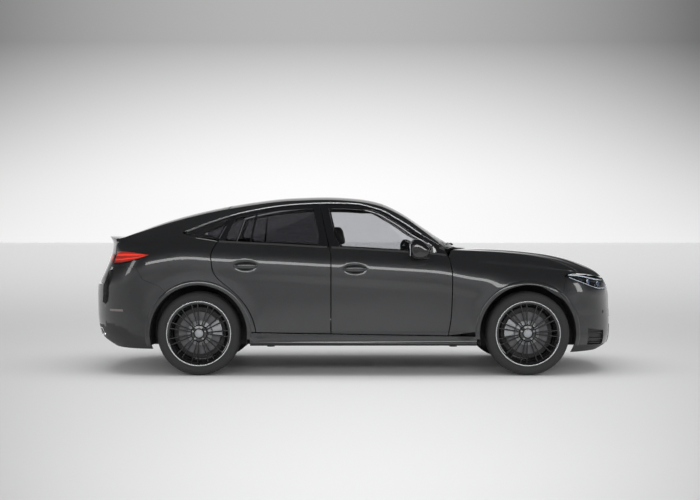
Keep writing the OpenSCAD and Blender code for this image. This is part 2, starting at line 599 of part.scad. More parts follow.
bonnet_rear = 0.05;
bonnet_w = [-1, -0.85, -0.65, -0.42, -0.2, 0, 0.2, 0.42, 0.65, 0.85, 1];
function bonnet_signed(u, w) = let (p = bonnet_pt(u, abs(w) * (1 - gap / bonnet_half))) [p[0], sign(w) * p[1], p[2]];
bonnet_pin = [axle_f - 606, 600, roof_h - 515];
bonnet_pin_r = 6;
module bonnet() {
    g = [for (i = [0:11]) [for (w = bonnet_w) bonnet_signed(lerp(bonnet_rear, 0.995, i / 11), w)]];
    // The front edge is folded back so that it clears bumper and lamps
    slab(g, [for (i = [0:11]) [for (q = g[i]) q - (i == 0 ? [-26, 0, 26] : i == 11 ? [26, 0, 0] : i == 10 ? [0, 0, 12] : i == 9 ? [0, 0, 22] : [0, 0, 28])]]);
    for (s = [-1, 1]) translate([bonnet_pin[0], s * bonnet_pin[1], bonnet_pin[2]]) rotate([90, 0, 0]) {
        cylinder(r = bonnet_pin_r, h = 44, center = true, $fn = 40);
        linear_extrude(14, center = true) polygon([[-8, -9], [84, -26], [84, -4], [4, 9], [-8, 6]]);
    }
}
module bonnet_ears() {
    for (s = [-1, 1]) for (k = [-1, 1])
        translate([bonnet_pin[0], s * bonnet_pin[1] + k * 14.6, bonnet_pin[2]]) rotate([90, 0, 0])
            linear_extrude(14, center = true) difference() {
                union() {
                    circle(r = 11, $fn = 40);
                    translate([-11, -118]) square([20, 118]);
                    translate([-11, -150]) square([90, 34]);
                }
                circle(r = bonnet_pin_r + hinge_play, $fn = 40);
            }
}
// Cowl: a fixed trim between the bonnet and the windscreen
module cowl() {
    panel([for (u = [0.002, 0.026, bonnet_rear - gap / 1320]) [for (w = [-0.72, -0.5, -0.25, 0, 0.25, 0.5, 0.72]) bonnet_signed(u, w)]], 14, TOP);
    for (s = [-1, 1]) translate([cowl_x - 8, s * 330 - 20, sill_h + 680.3]) cube([26, 40, cowl_z - 12 - sill_h - 680.3]);
}
// Front bumper in nose angles, with the grille, the lower intake and the side intakes left open
lamp_from = 12;
lamp_to = 66;
function lamp_top(phi) = curve([[12, 892], [28, 890], [46, 862], [66, 842]], phi) - gap;
function lamp_bottom(phi) = curve([[12, 872], [28, 800], [46, 742], [66, 744]], phi);
bumper_low = 196;
bumper_v = [0, 0.1, 0.2, 0.34, 0.46, 0.56, 0.72, 0.9, 1];
lamp_phi = [12, 17, 24, 32, 40, 48, 57, 66];
function front_pt(c, z) = c < 0 ? flank(corner_f + 11 * c, z) : nose(c, z);
function front_c(x, z) = x < corner_f ? (x - corner_f) / 11 : asin(min(1, (x - corner_f) / (nose_x(z) - corner_f)));
function arch_x(r, z) = sqrt(max(0, r * r - pow(z - hub_z, 2)));
// A wrapped bumper: columns hang from its upper edge, the first one follows the wheel arch. Coordinates are
// degrees round the corner, or steps along the flank where negative.
function wrap(upper, c0, low, vs, arch_c) = [
    for (v = vs) [
        for (q = upper)
            let (
                s = (q[0] - upper[0][0]) / (90 - upper[0][0]), straight = lerp(c0, upper[0][0], v),
                bend = pow(1 - s, 4) * (arch_c(lerp(low, upper[0][1], v)) - straight)
            ) [lerp(lerp(c0, 90, s), q[0], v) + bend, lerp(low, q[1], v)]
    ]
];
front_arch_c = function (z) front_c(axle_f + arch_x(arch_r, z) + seam, z);
function bumper_upper() =
    let (f = fender_inner(), a = f[9], m = f[10], b = f[11])
    concat(
        [for (q = [a, m, b]) [front_c(q[0] + 0.5, q[1]), q[1] - 0.4]],
        [for (phi = lamp_phi) if (phi > 12) [phi, lamp_bottom(phi) - seam]],
        [[68, lead_pt(22 / 62)[2] - gap], [74, lead_pt(16 / 62)[2] - gap], [82, lead_pt(8 / 62)[2] - gap], [90, lead_pt(0)[2] - gap]]
    );
// Inner points of a wrapped bumper: level inward on its flanks, along the plan's normal round the corners
function wrap_in(g, t, k) = [
    for (i = [0:len(g) - 1]) [
        for (j = [0:len(g[0]) - 1])
            g[i][j] - t * (j < k || j >= len(g[0]) - k ? [0, sign(g[i][j][1]), 0] : inward(g, i, j, PLAN))
    ]
];
function bumper_rows() = [
    for (r = wrap(bumper_upper(), front_arch_c(bumper_low), bumper_low, bumper_v, front_arch_c)) [for (q = r) front_pt(q[0], q[1])]
];
function both_sides(row) = concat(row, [for (i = [len(row) - 2:-1:0]) [row[i][0], -row[i][1], row[i][2]]]);
module front_bumper() {
    g = [for (r = bumper_rows()) both_sides(r)];
    m = len(bumper_upper()) - 1;
    slab(g, wrap_in(g, 22, 3), [[4, 7, m - 3, m + 3], [1, 3, m - 4, m + 4], [1, 3, m - 9, m - 6], [1, 3, m + 6, m + 9]]);
}
// A grille fills cells of the bumper's grid, set back from its skin
module grille_part(rows, cols) {
    g = [for (r = bumper_rows()) both_sides(r)];
    function part(q) = drawn_in([for (i = rows) [for (j = cols) q[i][j]]], seam);
    slab(part(wrap_in(g, 12, 3)), part(wrap_in(g, 20, 3)));
}
module grille() {
    m = len(bumper_upper()) - 1;
    grille_part([4:7], [m - 3:m + 3]);
    grille_part([1:3], [m - 4:m + 4]);
}
module headlamp() {
    g = [
        for (v = along(4)) [
            for (a = lamp_phi) let (phi = min(a, 65.2))
                nose(phi, lerp(lamp_bottom(phi) + seam, lamp_top(phi) - seam, v))
        ]
    ];
    inner = sunk(g, 50, PLAN);
    slab(g, [for (i = [0:4]) [for (q = inner[i]) q - [0, 0, i == 4 ? 34 : i == 3 ? 12 : 0]]]);
}

// Rear bumper on the same kind of coordinate
rear_low = 232;
function rear_pt(c, z) = c < 0 ? flank(corner_r - 10 * c, z) : tail(c, z);
function rear_c(x, z) = x > corner_r ? (corner_r - x) / 10 : asin(min(1, (corner_r - x) / (corner_r - tail_x(z))));
gate_low = 800;
rear_arch_c = function (z) rear_c(axle_r - arch_x(arch_r, z) - seam, z);
function rear_upper() = concat(
    let (q = quarter_inner(), n = len(q)) [for (i = [9:n - 2]) [rear_c(q[i][0] - 0.8, q[i][1]), q[i][1] - 1]],
    [[gate_phi - 3, 949], [gate_phi - 1.8, gate_low - gap], [58, gate_low - gap], [68, gate_low - gap], [79, gate_low - gap], [90, gate_low - gap]]
);
module rear_bumper() {
    rows = [for (r = wrap(rear_upper(), rear_arch_c(rear_low), rear_low, along(8), rear_arch_c)) [for (q = r) rear_pt(q[0], q[1])]];
    g = [for (r = rows) [for (q = both_sides(r)) [q[0], -q[1], q[2]]]];
    slab(g, wrap_in(g, 30, 7));
}
// Tail lamp: a wedge let into the quarter panel's corner
lamp_outline = [
    [axle_r - 437, 1057], [axle_r - 550, 1008], [axle_r - 700, 972], [axle_r - 900, 962], [axle_r - 900, 1086],
    [axle_r - 672, 1085], [axle_r - 550, 1074]
];
module tail_lamp_prism(grow) {
    rotate([90, 0, 0]) translate([0, 0, -half_w - 40]) linear_extrude(half_w) offset(delta = grow) polygon(lamp_outline);
}
module tail_lamp() {
    intersection() {
        panel([
            for (z = [940, 980, 1020, 1060, 1100]) [
                for (i = [0:9]) let (x = lerp(gate_edge_x(z) + 12, axle_r - 420, i / 9)) flank(x, z)
            ]
        ], 20, PLAN);
        tail_lamp_prism(0);
    }
}

// Tailgate: glass frame on the sloping top, spoiler lip and rear face
roof_gap = 10;
gate_x = roof_from - roof_gap;
glass_low_x = axle_r - 690;
gate_s = [-1, -0.86, -0.5, -0.17, 0.17, 0.5, 0.86, 1];
function gate_top(x, s) = top_pt(x, s * (edge(x)[0] - gap) / edge(x)[0]);
function gate_face(z, s) =
    let (x1 = gate_edge_x(z)) [lerp(tail_x(z), x1 - gap, pow(abs(s), 2.2)), s * (flank_y(x1, z) - gap - 2.8), z];
function lip_x(s) = lerp(axle_r - 930, gate_edge_x(1190) - gap, pow(abs(s), 2.2));
function gate_grid() = concat(
    [for (z = [gate_low, 880, 960, 1050, 1130, 1176]) [for (s = gate_s) gate_face(z, s)]],
    [for (k = [0, 0.35, 0.75, 1]) [for (s = gate_s) gate_top(lerp(lip_x(s), glass_low_x, k), s)]],
    [for (i = [1:5]) let (x = lerp(glass_low_x, gate_x - 60, i / 5)) [for (s = gate_s) gate_top(x, s)]],
    [[for (s = gate_s) gate_top(gate_x, s)]]
);
gate_pin_r = 5;
gate_pin_y = 150;
gate_pin_back = 30;
gate_axis = [gate_x - gate_pin_back, top_pt(gate_x - gate_pin_back, gate_pin_y / edge(gate_x - gate_pin_back)[0])[2] - 13];
gate_t = 30;
// Inner points: forward behind the rear face, down under the sloping top, thin along the sides
function gate_in(g) = [
    for (i = [0:len(g) - 1]) [
        for (j = [0:len(g[0]) - 1])
            let (rim = j == 0 || j == len(g[0]) - 1)
            g[i][j] + (i < 5 ? [gate_t, 0, 0] : i == 5 ? [gate_t + 8, 0, -4] : i == 6 ? [gate_t + 24, 0, -22] : [0, 0, rim ? -14 : -gate_t])
    ]
];
module tailgate() {
    g = gate_grid();
    difference() {
        slab(g, gate_in(g), [[9, 14, 1, 6]]);
        for (s = [-1, 1]) translate([gate_axis[0] - 22, s * gate_pin_y - 20, gate_axis[1] - 60]) cube([80, 40, 120]);
    }
    for (s = [-1, 1]) translate([gate_axis[0], s * gate_pin_y, gate_axis[1]]) rotate([90, 0, 0])
        cylinder(r = gate_pin_r, h = 60, center = true, $fn = 32);
}
module gate_ears() {
    drop = top_pt(gate_x + 60, gate_pin_y / edge(gate_x + 60)[0])[2] - 22 - gate_axis[1];
    for (s = [-1, 1]) translate([gate_axis[0], s * gate_pin_y, gate_axis[1]]) rotate([90, 0, 0])
        linear_extrude(24, center = true) difference() {
            union() {
                circle(r = 10, $fn = 32);
                polygon([[-10, 0], [-8, -36], [90, drop - 40], [90, drop], [56, drop], [52, drop - 22], [10, 0]]);
            }
            circle(r = gate_pin_r + hinge_play, $fn = 32);
        }
}
module tailgate_glass() {
    full = gate_grid();
    g = [for (i = [9:14]) [for (j = [1:6]) full[i][j]]];
    panel(drawn_in(g, seam), glass_t, TOP);
}

// Wheels: tyre, twin-spoke rim with its brake disc, on a hub bore
bore_r = 34;
module tyre_shape() {
    r = tyre_d / 2;
    b = rim_d / 2;
    w = tyre_w / 2;
    rotate([90, 0, 0]) rotate_extrude($fn = 96) difference() {
        union() {
            translate([b - 12, -w * 0.86]) square([r - b + 12 - 30, w * 1.72]);
            translate([r - 60, -w * 0.74]) square([60, w * 1.48]);
            translate([r - 34, 0]) for (s = [-1, 1]) translate([0, s * (w * 0.86 - 22)]) circle(r = 34, $fn = 48);
            translate([lerp(b, r, 0.46), 0]) for (s = [-1, 1]) translate([0, s * (w - 34)]) circle(r = 34, $fn = 48);
        }
        translate([0, -w * 2]) square([b - 6, w * 4]);
        for (s = [-1, -0.34, 0.34, 1]) translate([r - 7, s * w * 0.52 - 4]) square([20, 8]);
    }
}
module rim_shape() {
    b = rim_d / 2;
    w = tyre_w / 2;
    rotate([90, 0, 0]) {
        rotate_extrude($fn = 96) polygon([
            [b - 22, -w * 0.8], [b - 7, -w * 0.84], [b - 7, -w * 0.9], [b - 30, -w * 0.9], [b - 34, -w * 0.5],
            [b - 34, w * 0.5], [b - 24, w * 0.84], [b - 7, w * 0.84], [b - 7, w * 0.78], [b - 18, w * 0.72], [b - 26, w * 0.4], [b - 26, -w * 0.4]
        ]);
        difference() {
            cylinder(r = 74, h = w * 0.72, $fn = 64);
            translate([0, 0, -1]) cylinder(r = bore_r, h = w * 0.5, $fn = 64);
        }
        difference() {
            translate([0, 0, 10]) cylinder(r = disc_d / 2, h = 26, $fn = 96);
            cylinder(r = bore_r, h = 60, $fn = 64);
        }
        for (i = [0:spoke_pairs - 1]) for (s = [-1, 1]) rotate([0, 0, i * 360 / spoke_pairs + s * 6])
            translate([68, -6, w * 0.42]) cube([b - 22 - 68, 12, w * 0.27]);
    }
}

module placed_wheel(front, left) {
    translate([front ? axle_f : axle_r, left ? hub_y : -hub_y, hub_z]) rotate([0, 0, left ? 180 : 0]) children();
}

// Floor: cabin floor with its tunnel, firewall, luggage floor and wheel housings
floor_t = 50;
luggage_z = 520;
firewall_x = axle_f - 560;
housing_r = arch_r + 12;
pan_half = sill_in - seam;
module housing(cx, y0, y1) {
    translate([cx, y1, hub_z]) rotate([90, 0, 0]) linear_extrude(y1 - y0) difference() {
        circle(r = housing_r, $fn = 72);
        circle(r = housing_r - 10, $fn = 72);
        translate([-600, -1200]) square([1200, 1240]);
    }
}
module floor_pan() {
    difference() {
        union() {
            translate([axle_r + 460, -pan_half, sill_h]) cube([firewall_x - axle_r - 440, 2 * pan_half, floor_t]);
            translate([axle_r + 460, -pan_half, sill_h]) cube([40, 2 * pan_half, luggage_z + 40 - sill_h]);
            translate([axle_r - 850, -560, luggage_z]) cube([1330, 1120, 40]);
            translate([firewall_x, -700, sill_h]) cube([40, 1400, 680]);
            translate([axle_r + 460, -120, sill_h]) cube([firewall_x - axle_r - 440, 240, 150]);
            for (s = [-1, 1]) {
                translate([axle_r - 10, s * 555, luggage_z + 30]) rotate([90, 0, 0]) linear_extrude(10, center = true)
                    intersection() {
                        translate([10, hub_z - luggage_z - 30]) circle(r = housing_r, $fn = 72);
                        translate([-500, 0]) square([1000, 400]);
                    }
                translate([axle_r - 830, s * 400 - 30, luggage_z - 60]) cube([60, 60, 70]);
            }
            housing(axle_r, 550, 880);
            housing(axle_r, -880, -550);
            housing(axle_f, 560, 790);
            housing(axle_f, -790, -560);
            for (s = [-1, 1]) translate([firewall_x, s * 590 - 40, 860]) cube([60, 80, 60]);
            bonnet_ears();
            for (k = [-1, 1]) translate([firewall_x + 20, k * 640 - 40, hub_z + 222]) cube([axle_f - 372 - firewall_x - 20, 80, 20]);
        }
        translate([axle_r + 440, -80, sill_h - 1]) cube([firewall_x - axle_r - 300, 160, 111]);
        // Clearance round the front housings' feet
        translate([axle_f - 300, -250, 0]) cube([600, 500, 1200]);
    }
    for (s = [-1, 1]) for (x = [axle_r + 620, axle_f - 640])
        translate([x, s * 700, sill_h - 24]) cylinder(r = 34, h = 24.5, $fn = 48);
}

// Front suspension: kingpin inside the wheel, wishbone arms from the rails
king_y = hub_y - 25;
king_h = 168;
king_r = 10;
stub_r = bore_r - 0.4;
rail_z = hub_z + king_h - 24;
module knuckle() {
    translate([axle_f, king_y, hub_z]) {
        cylinder(r = king_r, h = 2 * (king_h + 16), center = true, $fn = 40);
        translate([-24, -26, -king_h + 18]) cube([48, 40, 2 * king_h - 36]);
        rotate([-90, 0, 0]) cylinder(r = 52, h = 18, $fn = 48);
        rotate([-90, 0, 0]) cylinder(r = stub_r, h = 84, $fn = 48);
    }
}
module wishbone(z) {
    translate([0, 0, z]) linear_extrude(28, center = true) difference() {
        union() {
            translate([axle_f, king_y]) circle(r = 21, $fn = 40);
            polygon([
                [axle_f - 18, king_y], [axle_f + 18, king_y], [axle_f + 30, 600], [axle_f + 110, 380], [axle_f - 110, 380],
                [axle_f - 30, 600]
            ]);
        }
        translate([axle_f, king_y]) circle(r = king_r + hinge_play, $fn = 40);
    }
}
module front_subframe() {
    for (l = [true, false]) on_side(l) {
        wishbone(hub_z + king_h);
        wishbone(hub_z - king_h);
        translate([firewall_x + 40.3, 320, rail_z - 40]) cube([x_front - 140 - firewall_x - 40, 80, 110]);
        translate([axle_f - 110, 320, hub_z - king_h - 14]) cube([220, 80, rail_z - hub_z + king_h]);
        translate([axle_f + 20, 260.3, rail_z - 20]) cube([140, 80, 60]);
    }
    translate([axle_f - 90, -340, hub_z - king_h - 14]) cube([180, 680, 60]);
    translate([x_front - 190, -430, rail_z - 40]) cube([60, 860, 110]);
}
module engine_block() {
    translate([axle_f - 180, -260, 430]) cube([540, 520, 430]);
}

// Rear axle: a cross-member under the luggage floor with two stub axles
module rear_axle() {
    translate([axle_r - 70, -430, hub_z - 40]) cube([140, 860, 90]);
    for (s = [-1, 1]) {
        translate([axle_r, s * 420, hub_z]) rotate([-90 * s, 0, 0]) cylinder(r = stub_r, h = hub_y + 59 - 420, $fn = 48);
        translate([axle_r, s * 420, hub_z]) rotate([-90 * s, 0, 0]) cylinder(r = 58, h = hub_y - 6 - 420, $fn = 48);
        translate([axle_r - 50, s * 380 - 40, hub_z + 40]) cube([100, 80, luggage_z - hub_z - 40.3]);
    }
    translate([axle_r, 0, hub_z]) rotate([0, 90, 0]) cylinder(r = 95, h = 260, center = true, $fn = 48);
}

// Exhaust: pipe in the tunnel, silencer and two tail pipes
pipe_r = 32;
pipe_z = sill_h + 20;
module exhaust() {
    translate([axle_r - 500, 0, pipe_z - 50]) rotate([0, 90, 0]) cylinder(r = pipe_r, h = wheelbase - 200, $fn = 40);
    translate([axle_r - 790, -330, pipe_z - 60]) cube([300, 660, 150]);
    for (s = [-1, 1]) {
        translate([axle_r - 680, s * 260 - 15, pipe_z + 80]) cube([30, 30, luggage_z - pipe_z - 80.3]);
    }
    translate([axle_f - 900, -12, pipe_z - 30]) cube([24, 24, sill_h + 110 - pipe_z + 29.7]);
}

// Interior
module front_seat(side) {
    translate([split_x0 + 500, side * 380, 0]) {
        translate([-200, -180, sill_h + floor_t + 0.3]) cube([420, 360, 180]);
        hull() {
            for (q = [[-220, 470, 90], [250, 490, 110]]) translate([q[0], -250, q[1]]) cube([40, 500, q[2]]);
        }
        hull() {
            translate([-280, -240, 500]) cube([130, 480, 40]);
            translate([-440, -220, 1090]) cube([90, 440, 40]);
        }
        hull() {
            translate([-445, -120, 1120]) cube([80, 240, 30]);
            translate([-480, -110, 1290]) cube([60, 220, 20]);
        }
    }
}
module rear_seat() {
    hull() {
        translate([axle_r + 560, -640, luggage_z - 60]) cube([40, 1280, 90]);
        translate([axle_r + 1000, -640, luggage_z - 40]) cube([40, 1280, 110]);
    }
    hull() {
        translate([axle_r + 545, -640, luggage_z - 60]) cube([120, 1280, 60]);
        translate([axle_r + 340, -520, 1060]) cube([100, 1040, 40]);
    }
    for (y = [-360, 0, 360]) hull() {
        translate([axle_r + 330, y - 110, 1080]) cube([80, 220, 30]);
        translate([axle_r + 310, y - 100, 1190]) cube([60, 200, 20]);
    }
    for (k = [-1, 1]) translate([axle_r + 680, k * 365 - 235, sill_h + floor_t + 0.3]) cube([340, 470, luggage_z - 40 - sill_h - floor_t]);
}
column = [axle_f - 1010, 380, 945];
column_tilt = 22;
column_r = 18;
module dashboard() {
    difference() {
        union() {
            hull() {
                translate([axle_f - 900, -700, 900]) cube([60, 1400, 130]);
                translate([axle_f - 790, -720, 820]) cube([60, 1440, 220]);
            }
            translate([axle_f - 790, -300, sill_h + floor_t + 100.3]) cube([60, 600, 520]);
            translate([axle_f - 740, -300, 800]) cube([180 - 0.3, 600, 100]);
            translate(column) rotate([0, 90 + column_tilt, 0]) translate([0, 0, 70]) cylinder(r = 46, h = 130, $fn = 48);
        }
        translate(column) rotate([0, 90 + column_tilt, 0]) cylinder(r = column_r + hinge_play, h = 180, $fn = 48);
    }
}
module steering_wheel() {
    translate(column) rotate([0, 90 + column_tilt, 0]) {
        rotate_extrude($fn = 64) translate([180, 0]) circle(r = 15, $fn = 24);
        cylinder(r = 62, h = 44, center = true, $fn = 48);
        cylinder(r = column_r, h = 160, $fn = 48);
        for (a = [0, 90, 180]) rotate([0, 0, a]) translate([40, -18, -9]) cube([134, 36, 18]);
    }
}

color("dimgray") floor_pan();
color(paint) on_side(true) side_frame();  // side_frame_left
color(paint) on_side(false) side_frame();  // side_frame_right
color(paint) on_side(true) quarter_panel(true);  // quarter_panel_left
color(paint) on_side(false) quarter_panel(false);  // quarter_panel_right
color(dark_glass) for (l = [true, false]) on_side(l) panel(sunk(quarter_glass_grid(), glass_depth, SIDE), glass_t, SIDE);  // quarter_glass
color(paint) roof_panel();
color(dark_glass) roof_glass();
color(dark_glass) windscreen();
color(paint) for (l = [true, false]) on_side(l) front_fender();  // front_fenders
color(paint) front_bumper();
color(black) grille();
color("lightsteelblue") for (l = [true, false]) on_side(l) headlamp();  // headlamps
color(paint) rear_bumper();
color("firebrick") for (l = [true, false]) on_side(l) tail_lamp();  // tail_lamps
color(black) cowl();
color("#26272a") dashboard();
color("#2a2a2c") for (k = [-1, 1]) front_seat(k);  // front_seats
color("#2a2a2c") rear_seat();
color("gray") engine_block();
color("dimgray") front_subframe();
color("dimgray") rear_axle();
color("silver") exhaust();
color(paint) on_side(true) door(true);  // door_front_left
color(paint) on_side(false) door(true);  // door_front_right
color(paint) on_side(true) door(false);  // door_rear_left
color(paint) on_side(false) door(false);  // door_rear_right
color(dark_glass) on_side(true) door_glass(true);  // glass_front_left
color(dark_glass) on_side(false) door_glass(true);  // glass_front_right
color(dark_glass) on_side(true) door_glass(false);  // glass_rear_left
color(dark_glass) on_side(false) door_glass(false);  // glass_rear_right
color(black) on_side(true) mirror_housing();  // mirror_left
color(black) on_side(false) mirror_housing();  // mirror_right
color(paint) bonnet();
color(paint) tailgate();
color(dark_glass) tailgate_glass();
color(paint) on_side(false) fuel_flap();
color(black) steering_wheel();
color("gray") on_side(true) knuckle();  // knuckle_left
color("gray") on_side(false) knuckle();  // knuckle_right
color(black) placed_wheel(true, true) tyre_shape();  // tyre_front_left
color(black) placed_wheel(true, false) tyre_shape();  // tyre_front_right
color(black) placed_wheel(false, true) tyre_shape();  // tyre_rear_left
color(black) placed_wheel(false, false) tyre_shape();  // tyre_rear_right
color("dimgray") placed_wheel(true, true) rim_shape();  // wheel_front_left
color("dimgray") placed_wheel(true, false) rim_shape();  // wheel_front_right
color("dimgray") placed_wheel(false, true) rim_shape();  // wheel_rear_left
color("dimgray") placed_wheel(false, false) rim_shape();  // wheel_rear_right
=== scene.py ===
"""Looks of a coupe sport utility vehicle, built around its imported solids.

Lengths are millimetres in the solids' own frame: +X to the front, +Y to the left, +Z up, with the origin on the
road under the middle of the length. Meshes are scaled to metres when they are made.
"""

import logging
import math
from dataclasses import dataclass, field
from enum import Enum
from typing import Callable, Optional, Sequence, Union

import bmesh
import bpy
import numpy as np
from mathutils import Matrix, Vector


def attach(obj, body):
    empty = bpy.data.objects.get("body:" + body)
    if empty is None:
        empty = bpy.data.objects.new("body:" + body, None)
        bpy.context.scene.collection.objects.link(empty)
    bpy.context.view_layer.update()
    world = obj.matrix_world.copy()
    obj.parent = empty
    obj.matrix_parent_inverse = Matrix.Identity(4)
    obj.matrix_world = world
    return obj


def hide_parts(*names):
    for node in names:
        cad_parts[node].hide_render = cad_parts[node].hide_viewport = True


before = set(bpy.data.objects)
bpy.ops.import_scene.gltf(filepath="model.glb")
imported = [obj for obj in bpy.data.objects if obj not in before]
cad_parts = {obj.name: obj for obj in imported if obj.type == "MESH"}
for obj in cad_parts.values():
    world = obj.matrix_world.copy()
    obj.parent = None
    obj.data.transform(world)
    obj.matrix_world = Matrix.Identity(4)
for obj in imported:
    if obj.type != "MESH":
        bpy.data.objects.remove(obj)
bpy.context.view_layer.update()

MM = 0.001
Array = np.ndarray
Number = Union[float, Array]
Point = Sequence[float]
Keys = Sequence[tuple[float, float]]
log = logging.getLogger("scene")


class Side(Enum):
    """A side of the car and its sign along Y."""

    LEFT = 1
    RIGHT = -1

    @property
    def word(self) -> str:
        """Name as the bodies spell it."""
        return self.name.lower()


class Axle(Enum):
    """The two axles."""

    FRONT = "front"
    REAR = "rear"


def lerp(a: Number, b: Number, t: Number) -> Number:
    """Value between a and b."""
    return a + (b - a) * t


def circle(steps: int) -> Array:
    """Even turns round a circle, in radians."""
    return np.linspace(0, 2 * math.pi, steps, endpoint=False)


def spokes(steps: int, a: Array, b: Array) -> Array:
    """Even directions round a circle that two unit vectors span."""
    turn = circle(steps)[:, None]
    return np.cos(turn) * a + np.sin(turn) * b


def unit(vectors: Array) -> Array:
    """Vectors brought to length 1."""
    return vectors / np.maximum(np.linalg.norm(vectors, axis=-1, keepdims=True), 1e-9)


def smooth(at: Sequence[Number], value: Sequence[float], x: Number) -> Array:
    """Smooth line through keys whose places may vary from point to point.

    Args:
        at: Places of the keys, each a number or an array like x.
        value: Value at each key.
        x: Where to read the line.

    Returns:
        The value at x, going on straight past the first and last key.
    """
    x = np.asarray(x, float)
    last = len(value) - 1
    slope = []
    for i in range(last + 1):
        a, b = max(i - 1, 0), min(i + 1, last)
        slope.append((value[b] - value[a]) / (np.asarray(at[b], float) - at[a]))
    out = value[0] + slope[0] * (x - at[0])
    for i in range(last):
        h = np.asarray(at[i + 1], float) - at[i]
        t = np.clip((x - at[i]) / h, 0, 1)
        piece = (
            value[i] * (2 * t**3 - 3 * t**2 + 1) + slope[i] * h * (t**3 - 2 * t**2 + t)
            + value[i + 1] * (3 * t**2 - 2 * t**3) + slope[i + 1] * h * (t**3 - t**2)
        )
        out = np.where(x >= at[i], piece, out)
    return np.where(x > at[last], value[last] + slope[last] * (x - at[last]), out)


class Curve:
    """A smooth line through fixed key points (place, value)."""

    def __init__(self, keys: Keys) -> None:
        """Keeps the keys apart as places and values."""
        self.at = [k[0] for k in keys]
        self.value = [k[1] for k in keys]

    def __call__(self, x: Number) -> Array:
        """Value at x."""
        return smooth(self.at, self.value, x)


